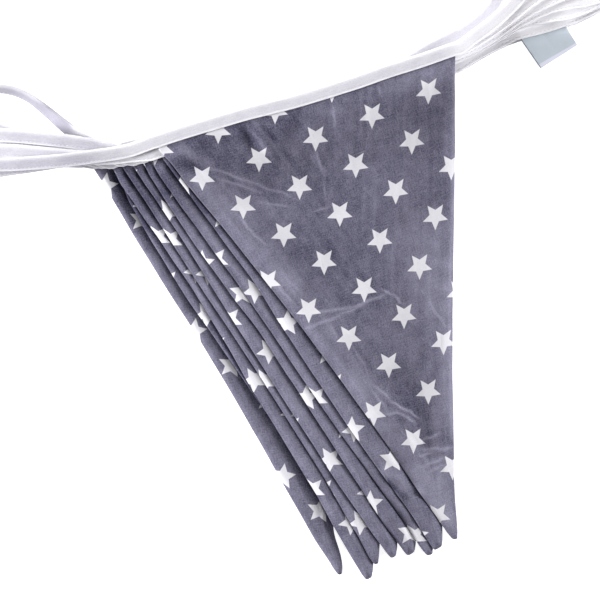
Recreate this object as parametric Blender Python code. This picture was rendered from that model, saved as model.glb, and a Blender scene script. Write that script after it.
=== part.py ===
"""Pennant bunting folded into a fanned pile: nine cotton pennants on one folded binding tape.

Metres, +Z up. The pile lies on z = 0. Plan coordinates in the tables are millimetres from the
middle of the pictured area, and PILE_MIDDLE moves the whole pile so that the middle of its
outer box stands over the origin.
"""
import bmesh
import bpy
from math import cos, pi, radians, sin
from mathutils import Vector

MM = 0.001

# Pennants, metres
FLAG_WIDTH = 0.200          # along the tape
FLAG_CLOTH = 0.0010         # two layers of cotton, sewn and turned
FLAG_PRESSED = 0.0006       # the same cloth where the tape grips it
FLAG_TUCK = 0.0065          # how far the cloth goes up into the tape
FLAG_TIP_HALF = 0.0028      # half the width of the blunt turned tip
FLAG_TIP_ROUND = 0.0022     # how far the tip's rounding stands out
FLAG_PITCH = 0.0015         # from one layer of the pile to the next
PRESSED_TO = 0.0015         # below the tape's edge the cloth is still pressed flat
PRESSED_END = 0.0070        # and here it has its full thickness

# Tape, metres
TAPE_WIDTH = 0.009          # folded in half from 18 mm
TAPE_WALL = 0.0005
TAPE_SLOT = 0.0012          # between the two walls, where a pennant goes in
TAPE_SLOT_DEPTH = 0.0072
TAPE_STRIP = 0.0012         # both halves stitched together, no pennant between
TAPE_PITCH = 0.0025         # from one tape of the pile to the next
TAPE_GAP = 0.0005           # clear air between strands that cross
TAPE_STEP = 0.0115          # length of one straight piece of a strand
TAPE_PIECES = 10            # straight pieces along one pennant
ROUTE_FINE = 12             # points read from the curve between two of a route's points
FIRST_CLEAR = 0.004         # a route's own points start at least this far from the pennant
CROSSING_REACH = 1.15       # strands this many widths apart or nearer lie on each other
SEARCH_REACH = 0.04         # only pieces of strand this near are looked at
SLOT_END = 0.0006           # the slot runs on past the cloth by this much
SHOULDER = 0.005            # over which the tape thins from slot to strip
STRAND_SLOPE = 0.22         # steepest rise or fall of a strand
LOOP_RISE = 0.0052          # height of the soft fold where a strand turns back
LOOP_SIDES = 6

# The cloth comes down from the tapes' levels to the pile's between these two distances
DROP_FROM = 0.008
DROP_TO = 0.058
FAN_SOFT = 0.024            # a layer's edge is felt by those above over this distance

# Label, metres
LABEL_CLOTH = 0.0010
LABEL_PRESSED = 0.0006
LABEL_TUCK = 0.004
LABEL_ALONG = (0.0700, 0.1005)      # from and to, along the strand that holds it
LABEL_STRAND = 3                    # counted from the bottom of the pile, from 0
LABEL_HELD = 0.001                  # it leaves the tape level over this distance
LABEL_FOOT = ((156.0, 150.4), (178.6, 164.8))    # its two lower corners, millimetres

PILE_MIDDLE = (-0.0063, 0.0351)

# One row for each pennant, from the bottom of the pile up. x, y: its left corner at the tape's
# lower edge. turn: degrees. drop: tape to tip. lean: how far the tip lies to the right of the
# middle. left_bow, right_bow: how far the sides are drawn in. cells: mesh cells along the top.
FLAGS = [
    dict(x=-135.1, y=87.3, turn=15.4, drop=295.2, lean=-14.6, left_bow=2.4, right_bow=8.0, cells=20),
    dict(x=-127.4, y=86.6, turn=16.2, drop=291.0, lean=-6.2, left_bow=-3.2, right_bow=1.0, cells=20),
    dict(x=-121.6, y=86.6, turn=16.7, drop=300.8, lean=-16.7, left_bow=0.4, right_bow=1.2, cells=20),
    dict(x=-116.4, y=86.6, turn=17.3, drop=292.0, lean=-18.6, left_bow=2.2, right_bow=1.5, cells=20),
    dict(x=-109.3, y=87.9, turn=17.7, drop=290.8, lean=-15.6, left_bow=-1.4, right_bow=1.5, cells=20),
    dict(x=-101.5, y=88.6, turn=18.3, drop=291.8, lean=-13.1, left_bow=0.5, right_bow=2.0, cells=20),
    dict(x=-96.3, y=89.9, turn=18.4, drop=296.0, lean=-8.4, left_bow=-0.4, right_bow=2.0, cells=20),
    dict(x=-89.9, y=91.8, turn=18.8, drop=294.4, lean=-10.4, left_bow=0.8, right_bow=2.5, cells=20),
    dict(x=-91.2, y=97.0, turn=17.6, drop=296.2, lean=5.4, left_bow=5.0, right_bow=3.2, cells=28),
]

# Soft creases of the front pennant. along, down: where the crest starts and ends, measured from
# the left corner along the tape and down from it. half: its half width. rise: its height.
CREASES = [
    dict(along=(30, 62), down=(30, 108), half=16, rise=1.6),
    dict(along=(70, 88), down=(14, 62), half=13, rise=1.1),
    dict(along=(118, 124), down=(12, 70), half=15, rise=0.9),
    dict(along=(160, 150), down=(16, 96), half=14, rise=1.0),
    dict(along=(84, 120), down=(150, 190), half=15, rise=1.3),
    dict(along=(104, 92), down=(196, 262), half=11, rise=1.0),
]

# Plan routes of the strands, millimetres, from each pennant's corner outwards. The last two
# points of a pair that turns back on itself are the same.
LEFT_ROUTES = [
    [(-155, 90.2), (-171, 87.6), (-194, 84.2), (-212, 80.4), (-226, 77)],
    [(-142, 91.2), (-168, 90.6), (-194, 90.6), (-214, 92.4), (-226, 92.4)],
    [(-136, 91.6), (-162, 92.4), (-194, 93.8), (-214, 92.4), (-226, 92.4)],
    [(-131, 91.6), (-147, 95.6), (-168, 102.2), (-181, 105.4), (-194, 110.2), (-207, 117.6),
     (-218, 124.6), (-226, 129.6), (-233, 130.6)],
    [(-120, 95), (-130.5, 99.8), (-142, 105.7), (-155, 114.8), (-165, 123.2), (-174.5, 130.2),
     (-184, 134.8), (-194, 136.8), (-206, 136.6), (-218, 133.4), (-226, 130.6), (-233, 130.6)],
    [(-112, 93.4), (-129, 95.8), (-148, 101), (-168, 103), (-194, 104.8), (-218, 107.2),
     (-227, 107.2)],
    [(-105, 95.4), (-123, 97.2), (-142, 101.3), (-155, 103.2), (-174.5, 105.2), (-194, 106.8),
     (-218, 107.2), (-227, 107.2)],
    [(-105, 93.6), (-120, 92), (-136, 91.8), (-155, 93.4), (-174.5, 95.2), (-194, 96.6),
     (-209, 93.6), (-218, 91.4)],
    [(-103, 98.6), (-116.4, 95.1), (-136, 92.2), (-155, 89.9), (-174.5, 88.5), (-194, 87.6),
     (-209, 89.6), (-218, 91.4)],
]
RIGHT_ROUTES = [
    [(66, 151.3), (77.6, 159.1), (92.5, 167.1), (109.3, 175.9), (119.6, 184.3), (126.7, 192.9),
     (131.4, 203.6), (133.8, 216), (133.8, 224)],
    [(77.6, 150.7), (94, 155.2), (110, 161.7), (124.8, 170.1), (137, 181.7), (143, 192.2),
     (141.6, 203.2), (136.4, 211), (133.8, 217), (133.8, 224)],
    [(84, 146.8), (99.6, 150), (108, 155.2), (121, 162.9), (134.5, 169.4), (143, 172.6),
     (154, 175.2), (176.5, 182.3), (192.7, 190.1), (210, 199.2), (219.8, 204.3)],
    [(87.3, 148.4), (99.6, 151.3), (108, 156.2), (121, 163.9), (134.5, 170.4), (143, 173.6),
     (154, 176.2), (176.5, 183.3), (192.7, 191.1), (210, 199.2), (219.8, 204.3)],
    [(94, 155.2), (110, 161.7), (126, 170.7), (139, 177.8), (155, 183), (174.6, 186.2),
     (194, 194.8), (206, 205), (213, 211)],
    [(100.2, 159.1), (116.4, 166.8), (132.6, 175.9), (145.5, 183), (158.4, 188.8),
     (171.3, 192), (184.3, 194), (197, 198.4), (206, 205), (213, 211)],
    [(106.7, 161.7), (123, 170.7), (137, 181), (152, 190.1), (168, 197.2), (187.5, 205),
     (199, 214), (205, 220)],
    [(110, 166.2), (126, 176.5), (139, 186.2), (152, 195.9), (167, 203.4), (187.5, 209),
     (199, 214.6), (205, 220)],
    [(114, 171.3), (126, 180.4), (135.8, 189.5), (145, 199.8), (156, 213.4), (170, 226.3),
     (184, 235), (200, 241), (217, 245.5)],
]
STANDING_STRAND = 4                 # its left strand lies half on edge
STANDING_TILT = radians(52)
STANDING_FROM = 0.045               # it turns on edge over this length
STANDING_TO = 0.03                  # and lies down again over this length

COTTON = dict(name="printed cotton", color=(0.145, 0.140, 0.205), roughness=0.85)
BINDING = dict(name="white binding", color=(0.78, 0.77, 0.81), roughness=0.80)
SATIN = dict(name="pale satin", color=(0.55, 0.68, 0.75), roughness=0.45)


def material(spec):
    made = bpy.data.materials.new(spec["name"])
    made.use_nodes = True
    shader = made.node_tree.nodes["Principled BSDF"]
    shader.inputs["Base Color"].default_value = (*spec["color"], 1.0)
    shader.inputs["Roughness"].default_value = spec["roughness"]
    shader.inputs["Metallic"].default_value = 0.0
    return made


def add_object(name, mesh_data, finish):
    """Turn a bmesh into a named object whose faces point out."""
    bmesh.ops.recalc_face_normals(mesh_data, faces=mesh_data.faces)
    mesh = bpy.data.meshes.new(name)
    mesh_data.to_mesh(mesh)
    mesh_data.free()
    mesh.materials.append(finish)
    made = bpy.data.objects.new(name, mesh)
    bpy.context.scene.collection.objects.link(made)
    return made


def ease(value):
    """0 to 1 with a soft start and end."""
    value = min(max(value, 0.0), 1.0)
    return value * value * (3.0 - 2.0 * value)


def plan(point):
    """A table's millimetres as metres in the part's frame."""
    return Vector((point[0] * MM - PILE_MIDDLE[0], point[1] * MM - PILE_MIDDLE[1]))


class Flag:
    """Plan shape of one pennant: corner, directions and side lines."""

    def __init__(self, row, level):
        turn = radians(row["turn"])
        self.level = level
        self.corner = plan((row["x"], row["y"]))
        self.along = Vector((cos(turn), sin(turn)))
        self.down = Vector((sin(turn), -cos(turn)))
        self.drop = row["drop"] * MM
        self.lean = row["lean"] * MM
        self.left_bow = row["left_bow"] * MM
        self.right_bow = row["right_bow"] * MM
        self.cells = row["cells"]

    def side(self, depth, right):
        """Distance along the tape of the left or right side at this depth."""
        share = min(max(depth / self.drop, 0.0), 1.0)
        half = FLAG_TIP_HALF + (FLAG_WIDTH / 2 - FLAG_TIP_HALF) * (1.0 - share)
        middle = FLAG_WIDTH / 2 + self.lean * share
        bow = (self.right_bow if right else self.left_bow) * sin(pi * share)
        return middle + half - bow if right else middle - half + bow

    def point(self, across, depth):
        """Plan point at a share of the width (0 left, 1 right) and a depth."""
        left, right = self.side(depth, False), self.side(depth, True)
        return self.corner + self.along * (left + (right - left) * across) + self.down * depth

    def local(self, spot):
        offset = spot - self.corner
        return offset.dot(self.along), offset.dot(self.down)

    def past_right(self, spot):
        """How far a plan point lies outside the straight right side."""
        top = self.corner + self.along * FLAG_WIDTH
        tip = self.point(1.0, self.drop)
        edge = (tip - top).normalized()
        outward = Vector((-edge.y, edge.x))
        return (spot - top).dot(outward)


flags = [Flag(row, level) for level, row in enumerate(FLAGS)]
front = flags[-1]


def tape_level(level):
    """Middle height of the tape of one pennant of the pile."""
    return level * TAPE_PITCH + TAPE_SLOT / 2 + TAPE_WALL


def layers_missing(spot):
    """How many layers of the pile, as a soft count, end to the left of this plan point."""
    return sum(ease(flag.past_right(spot) / FAN_SOFT) for flag in flags[:-1])


def crease_height(along, down):
    """Lift of the front pennant's soft creases at a place in its own plan."""
    lift = 0.0
    for row in CREASES:
        start = Vector((row["along"][0], row["down"][0])) * MM
        end = Vector((row["along"][1], row["down"][1])) * MM
        run = end - start
        share = min(max((Vector((along, down)) - start).dot(run) / run.length_squared, 0.0), 1.0)
        away = (Vector((along, down)) - start - run * share).length
        lift += row["rise"] * MM * ease(1.0 - away / (row["half"] * MM))
    return lift


def cloth_height(flag, spot):
    """Middle height of a pennant's cloth over a plan point."""
    near_tape = 1.0 - ease((front.local(spot)[1] - DROP_FROM) / (DROP_TO - DROP_FROM))
    lying = FLAG_PITCH * (flag.level - layers_missing(spot)) + FLAG_CLOTH / 2
    height = (1.0 - near_tape) * lying + near_tape * tape_level(flag.level)
    if flag is front:
        height += crease_height(*flag.local(spot))
    return height


def cloth_half(depth):
    """Half the cloth's thickness: pressed inside the tape, full below it."""
    full = ease((depth - PRESSED_TO) / (PRESSED_END - PRESSED_TO))
    return (FLAG_PRESSED + (FLAG_CLOTH - FLAG_PRESSED) * full) / 2


def flag_rows(flag):
    """Rows of (plan point, depth) from the edge inside the tape to the blunt tip."""
    steps = flag.cells - 1
    depths = [(-FLAG_TUCK, flag.cells), (PRESSED_TO, flag.cells)]
    depths += [(PRESSED_END + (flag.drop - PRESSED_END) * k / steps, flag.cells - k)
               for k in range(steps + 1)]
    rows = []
    for depth, cells in depths:
        rows.append([(flag.point(j / cells, depth), depth) for j in range(cells + 1)])
    tip = flag.point(0.5, flag.drop) + flag.down * FLAG_TIP_ROUND
    rows.append([(tip, flag.drop)])
    return rows


def stitch_rows(mesh_data, upper, lower):
    """Faces between two rows of vertices, the lower as long or one shorter."""
    for j in range(len(upper) - 1):
        if j < len(lower):
            mesh_data.faces.new((upper[j], upper[j + 1], lower[j]))
        if j + 1 < len(lower):
            mesh_data.faces.new((lower[j], upper[j + 1], lower[j + 1]))


def build_flag(flag, finish):
    """A pennant: two skins over the pile's shape, closed around the edge."""
    mesh_data = bmesh.new()
    skins = []
    for side in (1.0, -1.0):
        skin = []
        for row in flag_rows(flag):
            skin.append([mesh_data.verts.new((spot.x, spot.y,
                                              cloth_height(flag, spot) + side * cloth_half(depth)))
                         for spot, depth in row])
        for upper, lower in zip(skin, skin[1:]):
            stitch_rows(mesh_data, upper, lower)
        skins.append(skin)
    top, bottom = skins
    rim_top = outline(top)
    rim_bottom = outline(bottom)
    count = len(rim_top)
    for j in range(count):
        k = (j + 1) % count
        mesh_data.faces.new((rim_top[j], rim_top[k], rim_bottom[k], rim_bottom[j]))
    return add_object(f"pennant_{flag.level + 1}", mesh_data, finish)


def outline(skin):
    """The vertices around a skin: along the top row, down the right, up the left."""
    right = [row[-1] for row in skin[1:]]
    left = [row[0] for row in skin[1:-1]]
    return skin[0] + right + left[::-1]


def smooth_route(points):
    """A Catmull-Rom curve through the points, as closely spaced plan points."""
    padded = [points[0] * 2 - points[1]] + points + [points[-1] * 2 - points[-2]]
    fine = []
    for a, b, c, d in zip(padded, padded[1:], padded[2:], padded[3:]):
        for k in range(ROUTE_FINE):
            t = k / ROUTE_FINE
            fine.append(0.5 * ((2 * b) + (c - a) * t + (2 * a - 5 * b + 4 * c - d) * t * t
                               + (3 * b - a - 3 * c + d) * t ** 3))
    fine.append(points[-1])
    return fine


def walk(fine, stops):
    """Plan points at the given distances along a fine route."""
    found, gone, wanted = [], 0.0, list(stops)
    for a, b in zip(fine, fine[1:]):
        length = (b - a).length
        while wanted and gone + length >= wanted[0] - 1e-9:
            found.append(a.lerp(b, (wanted[0] - gone) / length if length else 0.0))
            wanted.pop(0)
        gone += length
    found += [fine[-1]] * len(wanted)
    return found


def route_length(fine):
    return sum((b - a).length for a, b in zip(fine, fine[1:]))


class Stop:
    """One cross-section of the tape: place, slot or strip, and tilt."""

    def __init__(self, spot, slot, height=0.0, thin=True, tilt=0.0):
        self.spot = spot
        self.slot = slot
        self.height = height
        self.half = TAPE_STRIP / 2 if thin else TAPE_SLOT / 2 + TAPE_WALL
        self.tilt = tilt


def flag_stops(flag):
    """Cross-sections along a pennant, left to right, with the shoulders outside its slot."""
    middle = -flag.down * TAPE_WIDTH / 2
    ends = (-SLOT_END, FLAG_WIDTH + SLOT_END)
    stops = [Stop(flag.corner + flag.along * (ends[0] - SHOULDER) + middle, False)]
    for k in range(TAPE_PIECES + 1):
        place = ends[0] + (ends[1] - ends[0]) * k / TAPE_PIECES
        stops.append(Stop(flag.corner + flag.along * place + middle, True, thin=False))
    stops.append(Stop(flag.corner + flag.along * (ends[1] + SHOULDER) + middle, False))
    for stop in stops:
        stop.height = tape_level(flag.level)
    return stops


def strand_stops(flag, route, right):
    """Cross-sections of a strand from the pennant's shoulder outwards, heights not yet set."""
    outward = flag.along if right else -flag.along
    edge = FLAG_WIDTH + SLOT_END + SHOULDER if right else -(SLOT_END + SHOULDER)
    start = flag.corner + flag.along * edge - flag.down * TAPE_WIDTH / 2
    points = [start] + [plan(point) for point in route]
    points = [start] + [p for p in points[1:] if (p - start).dot(outward) > FIRST_CLEAR]
    fine = smooth_route(points)
    length = route_length(fine)
    labelled = right and flag.level == LABEL_STRAND
    marks = []
    if labelled:
        first, last = LABEL_ALONG
        marks = [first - SLOT_END - SHOULDER, first - SLOT_END, (first + last) / 2,
                 last + SLOT_END, last + SLOT_END + SHOULDER]
    count = max(2, round(length / TAPE_STEP))
    regular = [length * k / count for k in range(1, count + 1)]
    if labelled:
        regular = [r for r in regular
                   if r < marks[0] - TAPE_STEP / 2 or r > marks[-1] + TAPE_STEP / 2]
    distances = sorted(regular + marks)
    stops = []
    for distance, spot in zip(distances, walk(fine, distances)):
        in_slot = labelled and marks[0] + 1e-6 < distance < marks[-1] - 1e-6
        stop = Stop(spot, in_slot, thin=not in_slot)
        if flag.level == STANDING_STRAND and not right:
            stop.tilt = STANDING_TILT * ease(distance / STANDING_FROM)
            stop.tilt *= ease((length - distance) / STANDING_TO)
        stops.append(stop)
    return stops


def nearest_on(a, b, spot):
    run = b.spot - a.spot
    share = (spot - a.spot).dot(run) / max(run.length_squared, 1e-12)
    share = min(max(share, 0.0), 1.0)
    away = (a.spot + run * share - spot).length
    return away, share


def settle(stops, start_height, laid, end_least):
    """Lay a strand on the floor and on the strands under it, rising and falling gently."""
    least = []
    for stop in stops:
        standing = abs(sin(stop.tilt)) * TAPE_WIDTH / 2
        need = stop.half + standing
        for a, b in laid:
            offset = a.spot - stop.spot
            if max(abs(offset.x), abs(offset.y)) > SEARCH_REACH:
                continue
            away, share = nearest_on(a, b, stop.spot)
            if away < TAPE_WIDTH * CROSSING_REACH:
                under = a.height + (b.height - a.height) * share + max(a.half, b.half)
                under += max(abs(sin(a.tilt)), abs(sin(b.tilt))) * TAPE_WIDTH / 2
                slope = abs(a.height - b.height) / max((a.spot - b.spot).length, 1e-6)
                need = max(need, under + slope * TAPE_WIDTH / 2 + TAPE_GAP + stop.half + standing)
        least.append(need)
    least[-1] = max(least[-1], end_least)
    places = [0.0]
    for a, b in zip(stops, stops[1:]):
        places.append(places[-1] + (b.spot - a.spot).length)
    first_gap = places[1]
    for stop, place in zip(stops, places):
        height = max(need - STRAND_SLOPE * abs(place - other)
                     for need, other in zip(least, places))
        stop.height = max(height, start_height - STRAND_SLOPE * (place + first_gap))


def pairs(stops):
    return list(zip(stops, stops[1:]))


def turn_back(lower, upper):
    """The soft fold that joins the ends of two strands: extra stops, from lower to upper."""
    a, b = lower[-1], upper[-1]
    outward = (a.spot - lower[-2].spot).normalized()
    radius = (b.height - a.height) / 2
    stops = []
    for k in range(1, LOOP_SIDES):
        angle = pi * k / LOOP_SIDES
        stop = Stop(a.spot.lerp(b.spot, k / LOOP_SIDES) + outward * radius * sin(angle), False)
        stop.height = a.height + radius * (1.0 - cos(angle))
        stop.angle = angle
        stop.outward = outward
        stops.append(stop)
    return stops


def lay_tape():
    """All cross-sections in order, from the lowest pennant's free end to the front one's."""
    laid, left, middle, right = [], [], [], []
    for flag in flags:
        level = flag.level
        body = flag_stops(flag)
        sides = []
        for route, is_right in ((LEFT_ROUTES[level], False), (RIGHT_ROUTES[level], True)):
            stops = strand_stops(flag, route, is_right)
            partner = (right if is_right else left)[level - 1] if level else None
            joined = partner and ((level % 2 == 1) == is_right)
            end_least = partner[-1].height + LOOP_RISE if joined else 0.0
            settle(stops, tape_level(level), laid, end_least)
            sides.append(stops)
        left.append(sides[0])
        right.append(sides[1])
        middle.append(body)
        for stops, shoulder in ((sides[0], body[0]), (sides[1], body[-1])):
            laid += pairs([shoulder] + stops)
        laid += pairs(body)
    chain = []
    for level in range(len(flags)):
        forward = level % 2 == 0
        arriving, leaving = (left, right) if forward else (right, left)
        body = middle[level] if forward else middle[level][::-1]
        chain += arriving[level][::-1] + body + leaving[level]
        if level + 1 < len(flags):
            chain += turn_back(leaving[level], leaving[level + 1])
    return chain, right[LABEL_STRAND]


def frames(chain):
    """For each stop: middle point, direction across the tape and direction through it."""
    spots = [Vector((s.spot.x, s.spot.y, s.height)) for s in chain]
    found = []
    across = Vector((*flags[0].down, 0.0))
    for k, stop in enumerate(chain):
        ahead = spots[min(k + 1, len(chain) - 1)] - spots[max(k - 1, 0)]
        if hasattr(stop, "angle"):
            ahead = Vector((*stop.outward, 0.0)) * cos(stop.angle)
            ahead += Vector((0, 0, sin(stop.angle)))
        ahead.normalize()
        level = Vector((ahead.x, ahead.y, 0.0))
        if level.length > 0.25:
            side = Vector((-ahead.y, ahead.x, 0.0)).normalized()
            across = side if side.dot(across) > 0 else -side
        through = ahead.cross(across).normalized()
        tilted = across
        if stop.tilt:
            up = Vector((0, 0, 1))
            tilted = (across * cos(stop.tilt) - up * sin(stop.tilt)).normalized()
            through = ahead.cross(tilted).normalized()
        found.append((spots[k], tilted, through))
    return found


def ring(mesh_data, stop, frame):
    """Vertices of one cross-section: folded edge, lower edge and, with a pennant, the slot."""
    middle, across, through = frame
    half, wide = stop.half, TAPE_WIDTH / 2
    corners = [(-wide, -half), (-wide, half), (wide, half)]
    if stop.slot:
        inner = wide - TAPE_SLOT_DEPTH
        corners += [(wide, TAPE_SLOT / 2), (inner, TAPE_SLOT / 2),
                    (inner, -TAPE_SLOT / 2), (wide, -TAPE_SLOT / 2)]
    corners.append((wide, -half))
    return [mesh_data.verts.new(middle + across * a + through * t) for a, t in corners]


def build_tape(chain, finish):
    """One closed solid swept along all strands, open below where a pennant goes in."""
    mesh_data = bmesh.new()
    found = frames(chain)
    rings = [ring(mesh_data, stop, frame) for stop, frame in zip(chain, found)]
    mesh_data.faces.new(rings[0])
    mesh_data.faces.new(rings[-1])
    for one, two in zip(rings, rings[1:]):
        if len(one) == len(two):
            for j in range(len(one)):
                k = (j + 1) % len(one)
                mesh_data.faces.new((one[j], one[k], two[k], two[j]))
            continue
        plain, slotted = (one, two) if len(one) < len(two) else (two, one)
        for j, k in ((0, 1), (1, 2)):
            mesh_data.faces.new((plain[j], plain[k], slotted[k], slotted[j]))
        mesh_data.faces.new((plain[3], plain[0], slotted[0], slotted[7]))
        mesh_data.faces.new((plain[2], slotted[2], slotted[3], slotted[6], slotted[7], plain[3]))
        mesh_data.faces.new((slotted[3], slotted[4], slotted[5], slotted[6]))
    return add_object("tape", mesh_data, finish), found


def along_frames(held, share):
    """Place and across direction at a share of the slot's length, a little inside its ends."""
    length = (held[0][0] - held[-1][0]).length
    share = SLOT_END / length + (1.0 - 2 * SLOT_END / length) * share
    part = share * (len(held) - 1)
    k = min(int(part), len(held) - 2)
    (a, across_a, _), (b, across_b, _) = held[k], held[k + 1]
    return a.lerp(b, part - k), across_a.lerp(across_b, part - k).normalized()


def build_label(chain, found, strand, finish):
    """A small sheet whose top edge goes up into the strand's slot and whose foot lies down."""
    held = [k for k, stop in enumerate(chain) if stop in strand and stop.slot]
    held.sort(key=lambda k: strand.index(chain[k]))
    tops = [along_frames([found[k] for k in held], share) for share in (0.0, 0.25, 0.5, 0.75, 1.0)]
    feet = [Vector((*plan(point), LABEL_CLOTH / 2)) for point in LABEL_FOOT]
    mesh_data = bmesh.new()
    skins = []
    for side in (1.0, -1.0):
        skin = []
        for go in (-LABEL_TUCK, 0.0, 0.14, 0.35, 0.56, 0.78, 1.0):
            row = []
            for j, (middle, across) in enumerate(tops):
                near = middle + across * (TAPE_WIDTH / 2 + LABEL_HELD)
                half = LABEL_CLOTH / 2
                if go <= 0.0:
                    spot = near + across * (go - (LABEL_HELD if go < 0.0 else 0.0))
                    half = LABEL_PRESSED / 2
                else:
                    foot = feet[0].lerp(feet[1], j / (len(tops) - 1))
                    spot = near.lerp(foot, go)
                    spot.z = near.z + (foot.z - near.z) * ease(go)
                row.append(mesh_data.verts.new(spot + Vector((0, 0, side * half))))
            skin.append(row)
        for upper, lower in zip(skin, skin[1:]):
            for j in range(len(upper) - 1):
                mesh_data.faces.new((upper[j], upper[j + 1], lower[j + 1], lower[j]))
        skins.append(skin)
    rims = [skin[0] + [row[-1] for row in skin[1:]] + skin[-1][-2::-1]
            + [row[0] for row in skin[-2:0:-1]] for skin in skins]
    for j in range(len(rims[0])):
        k = (j + 1) % len(rims[0])
        mesh_data.faces.new((rims[0][j], rims[0][k], rims[1][k], rims[1][j]))
    return add_object("label", mesh_data, finish)


for old in list(bpy.data.objects):
    bpy.data.objects.remove(old, do_unlink=True)

cotton, binding, satin = material(COTTON), material(BINDING), material(SATIN)
for pennant in flags:
    build_flag(pennant, cotton)
chain, labelled = lay_tape()
tape, tape_frames = build_tape(chain, binding)
build_label(chain, tape_frames, labelled, satin)
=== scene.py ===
from math import cos, exp, hypot, pi, radians, sin, sqrt
import bmesh
import bpy
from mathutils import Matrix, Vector, noise


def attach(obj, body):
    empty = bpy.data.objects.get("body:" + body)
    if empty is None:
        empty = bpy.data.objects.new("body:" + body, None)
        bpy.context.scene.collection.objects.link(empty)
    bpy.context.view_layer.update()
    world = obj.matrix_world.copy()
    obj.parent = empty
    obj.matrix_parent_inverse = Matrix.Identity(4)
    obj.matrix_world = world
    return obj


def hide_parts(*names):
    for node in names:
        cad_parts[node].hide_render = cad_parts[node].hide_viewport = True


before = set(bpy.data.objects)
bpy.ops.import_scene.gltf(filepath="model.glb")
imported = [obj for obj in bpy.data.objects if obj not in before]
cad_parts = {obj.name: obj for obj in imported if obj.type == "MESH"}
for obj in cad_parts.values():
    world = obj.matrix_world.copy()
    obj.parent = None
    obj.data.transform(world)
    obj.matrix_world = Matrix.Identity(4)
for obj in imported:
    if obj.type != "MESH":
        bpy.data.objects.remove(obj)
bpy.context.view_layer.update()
mm = 0.001
scene = bpy.context.scene
collection = scene.collection

pile = dict(
    middle=(-0.0063, 0.0351),           # of its outer box, in the picture's plan
    pitch=0.0015,                       # from one pennant to the next
    thick=0.0010,                       # of a pennant's solid
    dropFrom=0.008, dropTo=0.058,       # the cloth comes down from the tapes' levels
    fanSoft=0.024,                      # a layer's edge is felt by those above over this
)
pennantCut = dict(
    width=0.200, tuck=0.0065, tipRound=0.0024,
    pressedTo=0.0015, pressedEnd=0.0070,
    nipAt=0.90, nipSoft=0.06,           # where a nipped side is drawn in, as shares of the drop
    edgeWander=0.00030, edgeSize=0.030, # unevenness of the sides
    edgeSets=12,                        # it sets in over a twelfth of the drop
)
# from the bottom of the pile up, in millimetres and degrees: the corner, the bows of the left and right
# side, the tip's half width, squareness and slant, and how far the right side is drawn in
pennants = [
    dict(x=-135.1, y=87.3, turn=15.4, drop=296.2, lean=-15.0, bows=(2.4, 8.0), tip=(2.7, 2.4, 0.3), nip=7.2),
    dict(x=-127.4, y=86.6, turn=16.2, drop=291.0, lean=-6.2, bows=(-3.2, 1.0), tip=(2.8, 2.2, 0.0)),
    dict(x=-121.6, y=86.6, turn=16.7, drop=301.4, lean=-17.4, bows=(0.4, 1.2), tip=(3.3, 3.0, -0.4)),
    dict(x=-116.4, y=86.6, turn=17.3, drop=293.0, lean=-19.0, bows=(2.2, 1.5), tip=(3.2, 2.6, 0.6)),
    dict(x=-109.3, y=87.9, turn=17.7, drop=291.8, lean=-15.6, bows=(-1.4, 1.5), tip=(3.1, 2.6, -0.3)),
    dict(x=-101.5, y=88.6, turn=18.3, drop=292.6, lean=-14.2, bows=(0.5, 2.0), tip=(3.4, 3.0, -0.7)),
    dict(x=-96.3, y=89.9, turn=18.4, drop=296.8, lean=-9.8, bows=(-0.4, 2.0), tip=(3.4, 3.0, 0.3)),
    dict(x=-89.9, y=91.8, turn=18.8, drop=294.8, lean=-11.9, bows=(0.8, 2.5), tip=(4.2, 4.0, -0.8)),
    dict(x=-91.2, y=97.0, turn=17.6, drop=295.8, lean=7.0, bows=(5.0, 3.2), tip=(3.3, 2.8, 0.9)),
]
bendDepths = (0, 12, 30, 60, 95, 130, 165, 200, 235, 270, 292)
bends = {                               # small bends of the sides at those depths, in mm along the tape
    "left": [
        (0, 0, -0.5, -1.3, -1.4, -0.4, -0.5, -0.7, -1.3, -1.3, 0),
        (4.6, 4.4, 1.9, 0.9, 0.3, 1.8, 2.2, 3.2, 2.6, 1.4, 0),
        (0, -1.4, -0.6, 1.3, 2.6, 2.4, 1.6, 1.8, 1.8, 0.3, 0),
        (1.0, 1.0, 1.1, 0.7, 0.6, 1.6, 2.1, 2.7, 2.9, 2.4, 1.4),
        (0.6, 0.6, 1.3, 1.7, 1.2, 0.7, 0.4, 0, -0.7, -0.4, 0),
        (0, -1.2, -1.8, -2.1, -1.0, 0.7, -0.1, -0.6, -1.3, -2.0, -1.0),
        (0, -0.9, -0.8, 0.2, 1.0, 1.2, 0.8, 0.7, 0.9, 1.5, 0.8),
        (0.8, 0.9, 1.5, 2.1, 3.3, 1.5, 0.6, 0.1, 0.6, 1.8, 1.0),
        (0, 0.6, 0, 0, 0, 0, 0, 0, 0, 0, 0),
    ],
    "right": {8: (0.8, 0.9, 1.5, 2.1, 1.9, 1.4, 0.2, -0.6, -1.1, -1.9, -1.2)},
}


def clamp(value, low=0.0, high=1.0):
    return min(max(value, low), high)


def ease(value):
    value = clamp(value)
    return value * value * (3.0 - 2.0 * value)


def bell(value):
    return exp(-value * value)


def rounded(share):                     # up a quarter circle, from 0 to 1
    return sqrt(max(1.0 - (1.0 - min(share, 1.0)) ** 2, 0.0))


def noiseOf(*place):
    return noise.noise(Vector(place))


def stepped(at, places, amounts):       # eased from each amount to the next
    for start, end, a, b in zip(places, places[1:], amounts, amounts[1:]):
        if at < end:
            return a + (b - a) * ease((at - start) / (end - start))
    return amounts[-1]


def distanceFrom(start, run, spot):     # from the nearest point of a line on the plan
    offset = spot - start
    return (offset - run * clamp(offset.dot(run) / run.length_squared)).length


def plan(point):                        # table millimetres to metres in the frame
    return Vector((point[0] * mm - pile["middle"][0], point[1] * mm - pile["middle"][1]))


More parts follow.
